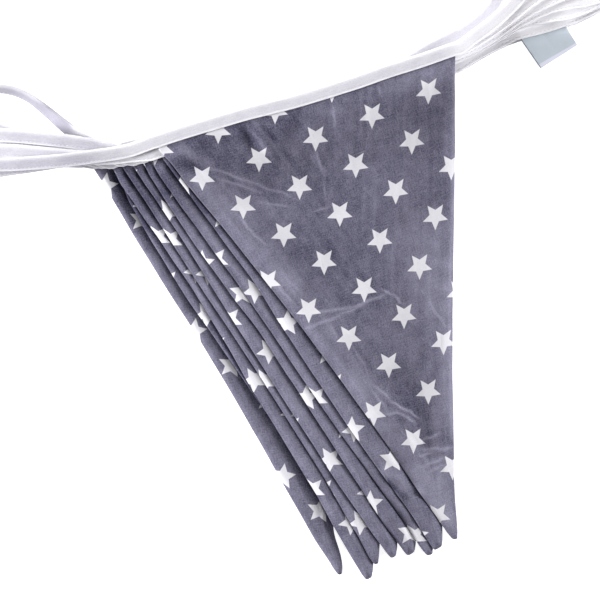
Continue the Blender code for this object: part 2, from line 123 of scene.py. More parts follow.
def onPlan(spot):                       # and back
    return (spot.x + pile["middle"][0]) / mm, (spot.y + pile["middle"][1]) / mm


def between(a, b, c, d, t):             # Catmull-Rom
    return 0.5 * ((2 * b) + (c - a) * t + (2 * a - 5 * b + 4 * c - d) * t * t
                  + (3 * b - a - 3 * c + d) * t ** 3)


class Pennant:
    def __init__(self, row, level):
        turn = radians(row["turn"])
        self.level = level
        self.wanders = {}               # the side's unevenness, found once for each half millimetre
        self.bends = (bends["left"][level], bends["right"].get(level, (0,) * len(bendDepths)))
        self.name = f"pennant_{level + 1}"
        self.corner = plan((row["x"], row["y"]))
        self.along = Vector((cos(turn), sin(turn)))
        self.down = Vector((sin(turn), -cos(turn)))
        self.drop, self.lean, self.nip = row["drop"] * mm, row["lean"] * mm, row.get("nip", 0) * mm
        self.leftBow, self.rightBow = (bow * mm for bow in row["bows"])
        tipHalf, self.tipSquare, tipSlant = row["tip"]
        self.tipHalf, self.tipSlant = tipHalf * mm, tipSlant * mm
        self.topRight = self.corner + self.along * pennantCut["width"]
        edge = (self.point(1.0, self.drop) - self.topRight).normalized()
        self.outward = Vector((-edge.y, edge.x))
        self.leftSlope = cos(0.5 * pennantCut["width"] / self.drop)   # cosine of a side's lean

    def side(self, depth, right):       # along the tape to the left or right side
        share = clamp(depth / self.drop)
        half = self.tipHalf + (pennantCut["width"] / 2 - self.tipHalf) * (1.0 - share)
        middle = pennantCut["width"] / 2 + self.lean * share
        key = (round(depth * 2000), right)
        if key not in self.wanders:
            wander = noiseOf(depth / pennantCut["edgeSize"], self.level * 3.7, 4.0 * right)
            wander *= pennantCut["edgeWander"] * ease(share * pennantCut["edgeSets"])
            self.wanders[key] = wander + stepped(depth / mm, bendDepths, self.bends[right]) * mm
        wander = self.wanders[key]
        if right:
            nip = self.nip * bell((share - pennantCut["nipAt"]) / pennantCut["nipSoft"])
            return middle + half - self.rightBow * sin(pi * share) - nip + wander
        return middle - half + self.leftBow * sin(pi * share) + wander

    def point(self, across, depth):
        left, right = self.side(depth, False), self.side(depth, True)
        return self.corner + self.along * (left + (right - left) * across) + self.down * depth

    def local(self, spot):
        offset = spot - self.corner
        return offset.dot(self.along), offset.dot(self.down)

    def pastRight(self, spot):
        return (spot - self.topRight).dot(self.outward)

    def outside(self, spot):            # how far a point lies outside the cloth; less than 0 is inside
        along, depth = self.local(spot)
        left = (self.side(depth, False) - along) * self.leftSlope
        right = (along - self.side(depth, True)) * self.leftSlope
        return max(left, right, depth - self.drop - pennantCut["tipRound"])


flags = [Pennant(row, level) for level, row in enumerate(pennants)]
front = flags[-1]

tapeSize = dict(
    width=0.009, wall=0.0005, slot=0.0012, strip=0.0012, pitch=0.0025, gap=0.0005,
    step=0.0115, pieces=10, routeFine=12, firstClear=0.004, crossingReach=1.15,
    searchReach=0.04, slotEnd=0.0006, shoulder=0.005, slope=0.22, loopRise=0.0052, loopSides=6,
)

# the front tape's droop in millimetres, at each tenth of its pennant
frontSag = (-1.2, -1.5, -1.0, -0.6, 0.5, 1.4, 1.5, 1.5, 1.0, 0.8, 0.3)


def sagAt(flag, share):
    if flag is not front:
        return 0.0
    return stepped(clamp(share) * (len(frontSag) - 1), range(len(frontSag)), frontSag) * mm


def tapeLevel(level):
    return level * tapeSize["pitch"] + tapeSize["slot"] / 2 + tapeSize["wall"]


def layersMissing(spot):                # layers of the pile that end to the left of this point
    return sum(ease(flag.pastRight(spot) / pile["fanSoft"]) for flag in flags[:-1])


def clothLevel(flag, spot):             # the middle height of the solid's cloth
    drop = (front.local(spot)[1] - pile["dropFrom"]) / (pile["dropTo"] - pile["dropFrom"])
    nearTape = 1.0 - ease(drop)
    lying = pile["pitch"] * (flag.level - layersMissing(spot)) + pile["thick"] / 2
    return (1.0 - nearTape) * lying + nearTape * tapeLevel(flag.level)


def calc(tree, operation, first, second=None, third=None):
    node = tree.nodes.new("ShaderNodeMath")
    node.operation = operation
    for socket, value in zip(node.inputs, (first, second, third)):
        if value is None:
            continue
        if isinstance(value, (int, float)):
            socket.default_value = value
        else:
            tree.links.new(value, socket)
    return node.outputs[0]


def times(tree, first, second):
    return calc(tree, "MULTIPLY", first, second)


def newPaint(name, colour, rough):
    made = bpy.data.materials.new(name)
    made.use_nodes = True
    shader = made.node_tree.nodes["Principled BSDF"]
    shader.inputs["Base Color"].default_value = (*colour, 1.0)
    shader.inputs["Roughness"].default_value = rough
    made.diffuse_color = (*colour, 1.0)
    return made, made.node_tree, shader


def noiseAt(tree, where, scale, detail=2.0, roughness=0.5, stretch=None):
    if stretch is not None:
        mapping = tree.nodes.new("ShaderNodeMapping")
        mapping.inputs["Scale"].default_value = stretch
        tree.links.new(where, mapping.inputs["Vector"])
        where = mapping.outputs[0]
    node = tree.nodes.new("ShaderNodeTexNoise")
    node.inputs["Scale"].default_value = scale
    node.inputs["Detail"].default_value = detail
    node.inputs["Roughness"].default_value = roughness
    tree.links.new(where, node.inputs["Vector"])
    return node.outputs[0]


def mixColours(tree, amount, first, second):
    node = tree.nodes.new("ShaderNodeMix")
    node.data_type = "RGBA"
    for socket, value in ((node.inputs[0], amount), (node.inputs[6], first), (node.inputs[7], second)):
        if isinstance(value, tuple):
            socket.default_value = (*value, 1.0)
        elif isinstance(value, (int, float)):
            socket.default_value = value
        else:
            tree.links.new(value, socket)
    return node.outputs[2]


def rampBetween(tree, value, start, stop):
    node = tree.nodes.new("ShaderNodeMapRange")
    node.interpolation_type = "SMOOTHSTEP"
    node.inputs["From Min"].default_value = start
    node.inputs["From Max"].default_value = stop
    tree.links.new(value, node.inputs["Value"])
    return node.outputs[0]


def bumpFrom(tree, shader, height, distance, strength):
    node = tree.nodes.new("ShaderNodeBump")
    node.inputs["Strength"].default_value = strength
    node.inputs["Distance"].default_value = distance
    tree.links.new(height, node.inputs["Height"])
    tree.links.new(node.outputs[0], shader.inputs["Normal"])


def clothMap(tree, name):
    node = tree.nodes.new("ShaderNodeUVMap")
    node.uv_map = name
    split = tree.nodes.new("ShaderNodeSeparateXYZ")
    tree.links.new(node.outputs[0], split.inputs[0])
    return node.outputs[0], split.outputs[0], split.outputs[1]


starPrint = dict(
    repeat=(38.93, 51.57),              # millimetres, of the half-drop star repeat
    starRadius=8.75, starWaist=0.465,   # outer radius, and inner to outer
    soft=0.16,                          # width of a star's printed edge
    ground=(0.118, 0.112, 0.165), groundDark=(0.034, 0.032, 0.064), groundPale=(0.262, 0.253, 0.338),
    # starShaded is the stars' colour in painted shade, mixed in as the cloth's shade deepens
    star=(0.67, 0.66, 0.70), starShaded=(0.56, 0.55, 0.60),
    grain=1.12, slub=0.68, cloud=0.30, tone=0.36,       # how much each changes the ground's shade; tone brings the painted light and shade
    middle=0.36,                                        # of the way from dark to pale where the tone is 0
    grainNoise=(1.1, 3.0, 0.68), cloudNoise=(0.05, 3.0, 0.55),      # scale by the mm, detail, roughness
    slubNoise=(1.0, 2.0, 0.6), slubLong=0.16, slubThin=2.1,
    thread=0.42, wander=0.25,           # millimetres from one thread to the next, and how far they stray
    hairs=((0.026, 0.0), (0.043, 0.01)), hairHalf=0.60, hair=0.12,  # hairline creases, bumped and with a painted highlight along them
    hairBend=5.0, hairBendNoise=(0.06, 2.0, 0.5), hairPatch=0.8, hairShown=(0.46, 0.60),
    inkShade=(0.8, 0.5), inkWear=(0.10, 0.93),          # how the stars take the cloth's shade, painted light and shade among it, and grain
    rough=0.86, sheen=(0.12, 0.5), gloss=0.25,
    inkRelief=0.25, mottleRelief=1.6, hairRelief=1.2, bump=(0.00007, 0.55),
)


def toneAt(tree):                       # the painted light and shade, crease wear and random tone each vertex carries, from -1 to 1
    node = tree.nodes.new("ShaderNodeAttribute")
    node.attribute_name = "tone"
    return node.outputs["Fac"]


def shadeFrom(tree, parts):             # 0.5 and a share of each part's difference from its middle
    total = None
    for value, middle, weight in parts:
        part = times(tree, calc(tree, "SUBTRACT", value, middle), weight)
        total = calc(tree, "ADD", part, 0.5 if total is None else total)
    return calc(tree, "MINIMUM", calc(tree, "MAXIMUM", total, 0.0), 1.0)


def starEdge(tree, x, y):               # less than 0 inside a star whose tip points along -x
    radius = calc(tree, "SQRT", calc(tree, "ADD", times(tree, x, x), times(tree, y, y)))
    turn = calc(tree, "ARCTAN2", y, times(tree, x, -1.0))
    sector = calc(tree, "ADD", turn, pi / 5 + 2 * pi)
    sector = calc(tree, "SUBTRACT", calc(tree, "MODULO", sector, 2 * pi / 5), pi / 5)
    sector = calc(tree, "ABSOLUTE", sector)
    outer = starPrint["starRadius"]
    waist = outer * starPrint["starWaist"]
    waistX, waistY = waist * cos(pi / 5), waist * sin(pi / 5)
    normalX, normalY = waistY, outer - waistX
    size = hypot(normalX, normalY)
    normalX, normalY = normalX / size, normalY / size
    alongX = times(tree, radius, calc(tree, "COSINE", sector))
    alongY = times(tree, radius, calc(tree, "SINE", sector))
    total = calc(tree, "MULTIPLY_ADD", alongX, normalX, times(tree, alongY, normalY))
    return calc(tree, "SUBTRACT", total, outer * normalX)


def starMask(tree, u, v):               # u and v in millimetres of the print
    masks = []
    for shift in (0.5, 0.0):
        x = calc(tree, "FRACT", calc(tree, "ADD", calc(tree, "DIVIDE", u, starPrint["repeat"][0]), shift))
        y = calc(tree, "FRACT", calc(tree, "ADD", calc(tree, "DIVIDE", v, starPrint["repeat"][1]), shift))
        x = times(tree, calc(tree, "SUBTRACT", x, 0.5), starPrint["repeat"][0])
        y = times(tree, calc(tree, "SUBTRACT", y, 0.5), starPrint["repeat"][1])
        masks.append(starEdge(tree, x, y))
    nearest = calc(tree, "MINIMUM", *masks)
    return rampBetween(tree, nearest, starPrint["soft"], -starPrint["soft"])


def weaveHeight(tree, u, v, pitch, wander):      # plain weave: warp and weft in turn on top
    threads = []
    for a, b in ((u, v), (v, u)):
        angle = times(tree, calc(tree, "ADD", a, wander), pi / pitch)
        lifted = times(tree, calc(tree, "SINE", times(tree, b, pi / pitch)), 0.25)
        lifted = calc(tree, "ADD", lifted, 0.75)
        threads.append(times(tree, calc(tree, "ABSOLUTE", calc(tree, "SINE", angle)), lifted))
    return times(tree, calc(tree, "ADD", *threads), 0.5)


def hairlines(tree, where):             # pressed-in creases too fine for the mesh, only here and there, bumped and painted paler as a highlight
    bent = tree.nodes.new("ShaderNodeVectorMath")
    bent.operation = "MULTIPLY_ADD"
    bent.inputs[1].default_value = (starPrint["hairBend"],) * 3
    tree.links.new(noiseAt(tree, where, *starPrint["hairBendNoise"]), bent.inputs[0])
    tree.links.new(where, bent.inputs[2])
    lines = []
    for scale, shift in starPrint["hairs"]:
        cells = tree.nodes.new("ShaderNodeTexVoronoi")
        cells.voronoi_dimensions = "2D"
        cells.feature = "DISTANCE_TO_EDGE"
        cells.inputs["Scale"].default_value = scale
        tree.links.new(bent.outputs[0], cells.inputs["Vector"])
        line = rampBetween(tree, cells.outputs["Distance"], starPrint["hairHalf"] * scale, 0.0)
        patches = noiseAt(tree, where, scale * starPrint["hairPatch"] + shift)
        shown = rampBetween(tree, patches, *starPrint["hairShown"])
        lines.append(times(tree, line, shown))
    return calc(tree, "MAXIMUM", *lines)


def finishCloth(tree, shader, look, relief):
    shader.inputs["Sheen Weight"].default_value = look["sheen"][0]
    shader.inputs["Sheen Roughness"].default_value = look["sheen"][1]
    shader.inputs["Specular IOR Level"].default_value = look["gloss"]
    bumpFrom(tree, shader, relief, *look["bump"])


def cottonPaint():
    made, tree, shader = newPaint("printed cotton", starPrint["ground"], starPrint["rough"])
    where, u, v = clothMap(tree, "cloth")
    long, thin = starPrint["slubLong"], starPrint["slubThin"]
    grain = noiseAt(tree, where, *starPrint["grainNoise"])
    slubAcross = noiseAt(tree, where, *starPrint["slubNoise"], (long, thin, 1.0))
    slubDown = noiseAt(tree, where, *starPrint["slubNoise"], (thin, long, 1.0))
    cloud = noiseAt(tree, where, *starPrint["cloudNoise"])
    wander = times(tree, calc(tree, "SUBTRACT", slubDown, 0.5), starPrint["wander"])
    weave = weaveHeight(tree, u, v, starPrint["thread"], wander)
    mottle = shadeFrom(tree, ((grain, 0.5, starPrint["grain"]), (slubAcross, 0.5, starPrint["slub"]),
                              (slubDown, 0.5, starPrint["slub"]), (cloud, 0.5, starPrint["cloud"])))
    hairs = hairlines(tree, where)
    # the ground's shade takes the painted light and shade of the vertex tone, and the painted highlight along
    # the hairlines
    shade = shadeFrom(tree, ((mottle, 0.5, 1.0), (toneAt(tree), 0.0, starPrint["tone"]),
                             (hairs, 0.0, starPrint["hair"]), (1.0, 1.5 - starPrint["middle"], 1.0)))
    ground = mixColours(tree, shade, starPrint["groundDark"], starPrint["groundPale"])
    mask = starMask(tree, u, v)
    inkShade = calc(tree, "MULTIPLY_ADD", shade, *starPrint["inkShade"])
    ink = mixColours(tree, inkShade, starPrint["starShaded"], starPrint["star"])
    worn = times(tree, mask, calc(tree, "MULTIPLY_ADD", grain, *starPrint["inkWear"]))
    tree.links.new(mixColours(tree, worn, ground, ink), shader.inputs["Base Color"])
    relief = weave
    for part, amount in ((mask, "inkRelief"), (mottle, "mottleRelief"), (hairs, "hairRelief")):
        relief = calc(tree, "MULTIPLY_ADD", part, starPrint[amount], relief)
    finishCloth(tree, shader, starPrint, relief)
    return made


binding = dict(
    # shaded and pale are the ends of the binding's mix: random tone, and the painted light and shade of the
    # tone attribute
    colour=(0.70, 0.69, 0.73), shaded=(0.32, 0.31, 0.37), pale=(0.93, 0.92, 0.96),
    fine=0.35, slub=0.30, cloud=0.30, tone=0.50,        # how much each changes the shade; tone brings the painted light and shade
    fineNoise=(1.1, 3.0, 0.6), cloudNoise=(0.06, 2.0, 0.5),
    slubNoise=(1.0, 2.0, 0.6), slubLong=0.22, slubThin=1.5,
    thread=0.40, wander=0.3, bias=0.7071,               # the threads lie at 45 degrees
    rough=0.78, sheen=(0.15, 0.45), gloss=0.3,
    fineRelief=0.9, bump=(0.00007, 0.5),
)


def bindingPaint():
    made, tree, shader = newPaint("white binding", binding["colour"], binding["rough"])
    where, u, v = clothMap(tree, "cloth")
    fine = noiseAt(tree, where, *binding["fineNoise"])
    slub = noiseAt(tree, where, *binding["slubNoise"], (binding["slubLong"], binding["slubThin"], 1.0))
    cloud = noiseAt(tree, where, *binding["cloudNoise"])
    wander = times(tree, calc(tree, "SUBTRACT", slub, 0.5), binding["wander"])
    ways = ("ADD", "SUBTRACT")
    diagonals = [times(tree, calc(tree, way, u, v), binding["bias"]) for way in ways]
    weave = weaveHeight(tree, *diagonals, binding["thread"], wander)
    # the shade mixes random tone with the painted light and shade of the vertex tone
    shade = shadeFrom(tree, ((fine, 0.5, binding["fine"]), (slub, 0.5, binding["slub"]),
                             (cloud, 0.5, binding["cloud"]), (toneAt(tree), 0.0, binding["tone"])))
    tree.links.new(mixColours(tree, shade, binding["shaded"], binding["pale"]), shader.inputs["Base Color"])
    finishCloth(tree, shader, binding, calc(tree, "MULTIPLY_ADD", fine, binding["fineRelief"], weave))
    return made


satin = dict(
    colour=(0.53, 0.59, 0.65), deep=(0.47, 0.53, 0.60), pale=(0.59, 0.65, 0.71), fine=0.4, cloud=0.6,
    fineNoise=(1.0, 2.0, 0.6), fineStretch=(0.35, 3.0, 1.0), cloudNoise=(0.12, 2.0, 0.5),
    # paler towards the folded end
    paleEnd=(0.72, 0.73, 0.85), paleEndFrom=16.4, paleEndSoft=0.4,
    # fold is a painted shade along the label's open side, where the gap between its layers shows; foldShade
    # is how dark
    fold=(0.16, 0.17, 0.20), foldFrom=0.27, foldTo=0.9, foldShade=0.8,
    rough=0.42, sheen=0.1, stretched=0.5,
    rib=0.25, fineRelief=0.6, bump=(0.00004, 0.4),
)


def satinPaint():
    made, tree, shader = newPaint("pale satin", satin["colour"], satin["rough"])
    where, u, v = clothMap(tree, "cloth")
    fine = noiseAt(tree, where, *satin["fineNoise"], satin["fineStretch"])
    cloud = noiseAt(tree, where, *satin["cloudNoise"])
    tone = calc(tree, "MULTIPLY_ADD", fine, satin["fine"], times(tree, cloud, satin["cloud"]))
    face = mixColours(tree, tone, satin["deep"], satin["pale"])
    soft = satin["paleEndSoft"]
    # paler towards the folded end
    paleEnd = rampBetween(tree, calc(tree, "ABSOLUTE", v), satin["paleEndFrom"] - soft, satin["paleEndFrom"] + soft)
    # painted shade along the open side
    fold = rampBetween(tree, u, satin["foldTo"], satin["foldFrom"])
    face = mixColours(tree, paleEnd, face, satin["paleEnd"])
    face = mixColours(tree, times(tree, fold, satin["foldShade"]), face, satin["fold"])
    tree.links.new(face, shader.inputs["Base Color"])
    shader.inputs["Sheen Weight"].default_value = satin["sheen"]
    shader.inputs["Anisotropic"].default_value = satin["stretched"]
    ribs = calc(tree, "ABSOLUTE", calc(tree, "SINE", times(tree, v, pi / satin["rib"])))
    bumpFrom(tree, shader, calc(tree, "MULTIPLY_ADD", fine, satin["fineRelief"], ribs), *satin["bump"])
    return made


threadLook = dict(
    colour=(0.62, 0.61, 0.66), shaded=(0.52, 0.51, 0.56), pale=(0.70, 0.69, 0.73),
    plyNoise=(2600.0, 2.0, 0.5), rough=0.6, sheen=0.2, bump=(0.00003, 0.5),
    length=0.0019, thick=0.00034, high=0.00022, sink=0.00002,
)


def threadPaint():
    made, tree, shader = newPaint("white thread", threadLook["colour"], threadLook["rough"])
    coordinates = tree.nodes.new("ShaderNodeTexCoord")
    ply = noiseAt(tree, coordinates.outputs["Object"], *threadLook["plyNoise"])
    colour = mixColours(tree, ply, threadLook["shaded"], threadLook["pale"])
    tree.links.new(colour, shader.inputs["Base Color"])
    shader.inputs["Sheen Weight"].default_value = threadLook["sheen"]
    bumpFrom(tree, shader, ply, *threadLook["bump"])
    return made


cotton, white, ice, thread = cottonPaint(), bindingPaint(), satinPaint(), threadPaint()
print("paints mixed")

floorTop = 0.00004                      # cloth that lies on the floor is flat there
weldReach = 1e-7                        # points nearer than this become one


def makeSleeve(name, columns, rows, place, paint):
    # a grid rolled into a flat tube: x goes round the section, y runs along the piece.
    # place(column, row) gives the point, its place on the cut cloth in millimetres, and its tone
    meshData = bmesh.new()
    bmesh.ops.create_grid(meshData, x_segments=columns, y_segments=rows, size=0.5)
    mapLayer = meshData.loops.layers.uv.new("cloth")
    toneLayer = meshData.verts.layers.float.new("tone")
    onCloth = {}
    for vert in meshData.verts:
        column = round((vert.co.x + 0.5) * columns)
        row = round((vert.co.y + 0.5) * rows)
        vert.co, onCloth[vert], vert[toneLayer] = place(column, row)
        vert.co.z = max(vert.co.z, floorTop)
    for face in meshData.faces:
        face.smooth = True
        for loop in face.loops:
            loop[mapLayer].uv = onCloth[loop.vert]
    bmesh.ops.remove_doubles(meshData, verts=meshData.verts, dist=weldReach)
    rims = [edge for edge in meshData.edges if edge.is_boundary]
    if rims:
        bmesh.ops.holes_fill(meshData, edges=rims, sides=0)
    bmesh.ops.recalc_face_normals(meshData, faces=meshData.faces)
    mesh = bpy.data.meshes.new(name)
    meshData.to_mesh(mesh)
    meshData.free()
    mesh.materials.append(paint)
    made = bpy.data.objects.new(name, mesh)
    collection.objects.link(made)
    return made


# where the print lies on each: turn and skew in degrees, scale, and one star in print millimetres
prints = [
    dict(turn=189.0, skew=2, scale=0.99, star=(13.5, 35.0)),
    dict(turn=10.8, skew=4, scale=1.01, star=(17.5, 2.0)),
    dict(turn=11.8, skew=2, scale=1.00, star=(36.9, 7.0)),
    dict(turn=13.4, skew=0, scale=1.00, star=(24.5, 31.5)),
    dict(turn=13.3, skew=2, scale=1.00, star=(11.0, 24.0)),
    dict(turn=198.9, skew=-2, scale=1.01, star=(33.9, 35.0)),
    dict(turn=15.0, skew=0, scale=1.00, star=(12.5, 13.5)),
    dict(turn=196.9, skew=0, scale=1.01, star=(31.4, 37.5)),
]
frontPrint = [                          # the front one's two ways; they bend by xx, xy and yy in decimetres
    dict(turn=18.27, scale=1.0185, start=-120.22, bend=(-0.39, -1.64, -0.57)),
    dict(turn=-70.54, scale=1.0031, start=95.49, bend=(3.74, 1.98, -0.06)),
]
cloth = dict(
    half=0.00040, edgeHalf=0.00062,     # half thickness, and at the turned edge
    edgeAt=0.0024, edgeSoft=0.0019,     # where the turned edge is thickest
    rounding=0.0007, pressedHalf=0.0003,
    puff=0.23, puffMost=0.0025,         # a strip's crown, by its width, and the most
    puffVary=0.35, puffSize=0.045, archPower=0.8,
    crowns=(0.9, 1.25, 1.0, 0.85, 1.0, 1.1, 0.95, 1.05, 1.0),
    roll=0.0020, rollWidth=0.026, rollRise=3.5, rollFall=1.3,       # the front one's left side
    wave=0.00025, waveSize=0.024, waveSets=0.004,       # soft unevenness, which sets in from the edge
    fine=0.00011, fineSize=0.0075, streak=0.00020, streakAcross=0.0030, streakDown=0.04,
    light=2,                            # creases with less half width than this are light ones
    sharp=1.1, narrow=0.66,             # their heights and widths, to those of their rows
    creaseBend=1.6, bendSize=2.2,       # most bend of a crease in mm, and its waves by its length
    past=0.3, fadePast=0.8,             # creases run on past their ends and fade
    coverSoft=0.002,                    # and end where the next cloth lies over them
    pucker=0.00028, puckerSize=0.0065, puckerReach=0.009, puckerSets=0.002,
    crownAt=(0.90, 1.25, 1.45, 1.40, 1.45, 1.40, 1.45, 1.35),       # higher is further right in a strip
    # deep is the painted shade beside the next cloth's edge; the rims and the crease ridges (worn) are
    # painted paler, partly as wear and partly as a painted highlight; streak and fine tone differ at random
    deep=0.42, rimWearAndHighlight=0.35, rimWearAndHighlightReach=0.0005, worn=4.2, streakTone=0.30, fineTone=0.35,
    crests=(0.40, -0.20, 0.42, 0.48, 0.60, 0.46, 0.60, 0.42),       # painted highlight: how much paler a crown is; where less than 0, painted shade
    tapeShadow=0.18, tapeShadowReach=0.0020,  # painted shadow, deeper just under the tape
    toneMost=1.3,
    deepReach=(0.0050, 0.0020, 0.0020, 0.0020, 0.0022, 0.0026, 0.0020, 0.0042),     # reach of the painted shade beside the next one
)
creases = [                             # the solid's own soft creases: along, down, half width, rise in mm
    dict(along=(30, 62), down=(30, 108), half=16, rise=1.6),
    dict(along=(70, 88), down=(14, 62), half=13, rise=1.1),
    dict(along=(118, 124), down=(12, 70), half=15, rise=0.9),
    dict(along=(160, 150), down=(16, 96), half=14, rise=1.0),
    dict(along=(84, 120), down=(150, 190), half=15, rise=1.3),
    dict(along=(104, 92), down=(196, 262), half=11, rise=1.0),
]


def creaseHeight(along, down):
    lift = 0.0
    for row in creases:
        start = Vector((row["along"][0], row["down"][0])) * mm
        end = Vector((row["along"][1], row["down"][1])) * mm
        away = distanceFrom(start, end - start, Vector((along, down)))
        lift += row["rise"] * mm * ease(1.0 - away / (row["half"] * mm))
    return lift


# ridges and troughs by pennant, counted from 0, as drawn on the plan: from, to, half width, height in mm
wrinkles = {
    8: [
        # swells
        ((-46, 74), (2, 12), 15, 2.2), ((2, 12), (42, -48), 15, 2.2), ((42, -48), (72, -94), 12, 1.5),
        ((38, 62), (78, 60), 11, 1.1), ((60, 118), (98, 120), 11, -1.2), ((82, 66), (94, 66), 8, -0.9),
        ((72, 36), (86, -2), 14, 1.3), ((60, -48), (74, -66), 11, -1.3), ((70, 138), (96, 146), 7, 0.9),
        ((20, 30), (44, 20), 15, -0.9),
        # folds under the tape, and the wedge at the left corner
        ((-31, 117), (-16, 90), 3.6, 1.6), ((-38, 113), (-29, 97), 3.8, -1.3),
        ((-3, 120), (-1, 99), 4.6, -1.1), ((-14, 115), (-12, 101), 3.2, 0.7),
        ((6, 127), (9, 108), 4.6, 1.0), ((28, 134), (30, 117), 4.2, 0.9),
        ((-41, 112), (-39, 101), 2.8, 0.7), ((-79, 96), (-55, 87), 3.8, 1.3),
        ((-81, 88), (-62, 82), 4.2, -1.3), ((-66, 105), (-42, 98), 5.0, -1.1),
        ((4, 98), (9, 83), 3.6, -0.8), ((45, 140), (49, 124), 3.6, 0.7), ((60, 143), (63, 128), 3.4, -0.6),
        ((-50, 80), (-30, 60), 5.0, -0.5), ((64, 90), (70, 60), 6.0, 0.5),
        # light creases
        ((-58, 85), (-28, 75), 1.5, 0.30), ((-28, 75), (-2, 65), 1.4, 0.24),
        ((-54, 79), (-24, 69), 1.3, 0.24), ((-27, 63), (-4, 60), 1.2, 0.24),
        ((9, 57), (20, 61), 1.2, 0.28), ((-38, 53), (-31, 44), 1.3, 0.26),
        ((-31, 44), (-21, 35), 1.3, 0.24), ((10, 97), (15, 82), 1.4, 0.30),
        ((15, 82), (17, 62), 1.3, 0.16), ((-12, 18), (1, 4), 1.2, 0.30), ((-17, 12), (-4, -3), 1.2, 0.26),
        ((21, 127), (23, 111), 1.4, 0.26), ((50, 140), (53, 130), 1.4, 0.22),
        ((8, -9), (32, -5), 1.3, 0.46), ((32, -5), (55, 3), 1.3, 0.46), ((4, -18), (24, -11), 1.3, 0.40),
        ((24, -11), (42, -3), 1.2, 0.34), ((53, 7), (61, 3), 1.2, 0.42), ((61, 3), (67, -3), 1.2, 0.42),
        ((86, -5), (95, -18), 1.1, 0.34), ((84, 2), (88, -10), 1.1, 0.22),
        ((20, -16), (24, -24), 1.2, 0.24), ((47, -55), (58, -64), 1.5, 0.36),
        ((58, -66), (70, -72), 1.3, 0.60), ((70, -72), (77, -77), 1.2, 0.38),
        ((54, -73), (66, -74), 1.3, 0.42), ((66, -74), (74, -79), 1.2, 0.36),
        ((48, -60), (56, -72), 1.4, 0.28), ((80, -97), (97, -96), 1.5, 0.70),
        ((77, -109), (93, -103), 1.4, 0.65), ((82, -113), (94, -107), 1.3, 0.50),
        ((78, -92), (92, -86), 1.5, 0.40), ((82, -103), (95, -100), 1.3, -0.40),
        ((76, -101), (86, -99), 1.3, 0.40), ((70, -122), (88, -128), 1.5, 0.30),
        ((86, -138), (94, -150), 1.3, 0.30), ((-8, 50), (-24, 50), 1.3, -0.22),
        ((34, -30), (44, -46), 1.4, 0.24),
    ],
    7: [
        ((54, -110), (66, -119), 2.6, 1.1), ((61, -121), (74, -132), 2.8, 1.2),
        ((46, -96), (58, -106), 2.8, 0.8), ((68, -124), (80, -128), 2.2, -0.9),
        ((70, -138), (82, -146), 2.2, 0.8), ((57, -118), (68, -126), 2.0, -0.9),
        ((50, -106), (58, -114), 2.0, -0.7),
    ],
    0: [((12, -150), (24, -160), 2.0, 0.4), ((-20, -84), (-8, -90), 2.2, 0.4)],
}

topShade = ((-126, 70), (-76, 76), 22, -0.80)       # painted shade: the strips are deeper near the tape
paintedLightAndShade = {                              # painted light and shade: where the cloth is paler or deeper, in the same way: amount last
    8: [
        ((-56, 74), (-10, 14), 10, 0.48), ((-10, 14), (38, -55), 11, 0.46),
        ((38, -55), (84, -122), 11, 0.62), ((62, 62), (96, 56), 12, 0.20), ((72, 36), (80, 4), 15, 0.62),
        ((90, 40), (95, -70), 9, 0.62), ((78, -118), (90, -142), 11, 0.90),
        ((90, -106), (95, -150), 7, 0.55), ((-66, 100), (0, 118), 12, -0.52),
        ((-50, 88), (-20, 84), 9, -0.40), ((58, 120), (88, 118), 10, -0.24),
        ((60, 142), (96, 150), 8, 0.42), ((-8, 88), (30, 60), 14, -0.18), ((-8, 22), (32, 40), 10, -0.22),
        ((88, -66), (92, -92), 8, 0.20), ((-76, 96), (-58, 89), 4, 0.55), ((-80, 87), (-62, 82), 4, -0.40),
        ((58, -48), (74, -68), 9, -0.30), ((82, 66), (94, 66), 7, -0.30), ((-29, 116), (-19, 94), 3, 0.42),
        ((-36, 113), (-30, 98), 3, -0.32), ((5, 126), (8, 110), 4, 0.38), ((76, -86), (92, -88), 6, -0.25),
        ((20, 122), (22, 114), 3, 0.32), ((20, 30), (44, 10), 14, -0.25), ((-20, 60), (-6, 48), 8, 0.15),
        ((60, -20), (74, -34), 10, 0.12), ((-78, 90), (-54, 78), 4.0, -0.50),
        ((-70, 79), (-46, 58), 5.0, 0.34), ((100, 150), (99.5, 60), 1.4, 0.9),
        ((99.5, 60), (97, 0), 1.4, 0.9), ((97, 0), (98.5, -90), 1.4, 0.9),
    ],
    0: [((-118, 72), (-106, 48), 6, -0.55), ((-124, 84), (-116, 74), 5, -0.40)],
    1: [((-110, 62), (-101, 46), 5, -0.45), ((-52, -12), (-22, -78), 5, -0.52), topShade],
    2: [((34, -142), (46, -160), 2.4, 0.60), topShade],
    3: [((46, -141), (58, -157), 2.4, 0.70), topShade],
    4: [((58, -131), (69, -147), 2.8, -0.60), topShade],
    5: [topShade], 6: [topShade],
    7: [
        ((54, -108), (68, -121), 5, 0.6), ((58, -119), (68, -127), 2.5, -0.9),
        ((30, -80), (50, -102), 5, 0.25), ((-82, 84), (-62, 60), 4, -0.60), topShade,
    ],
    # painted light and shade on the binding tape
    "tape": [
        ((-194, 95), (-142, 95), 15, -0.64), ((-194, 141), (-162, 125), 13, -0.75),
        ((-166, 122), (-150, 111), 5.5, -0.95), ((-149, 109), (-137, 104.5), 2.4, 0.55),
        ((-194, 97), (-146, 97), 3.5, 0.36), ((-194, 110), (-130, 102), 1.5, 0.36),
        ((112, 160), (200, 196), 11, 0.95), ((130, 174), (172, 204), 11, 0.80),
        ((100, 152), (112, 160), 7, 0.45), ((-112, 90), (-84, 94), 7, 0.26),
    ],
}


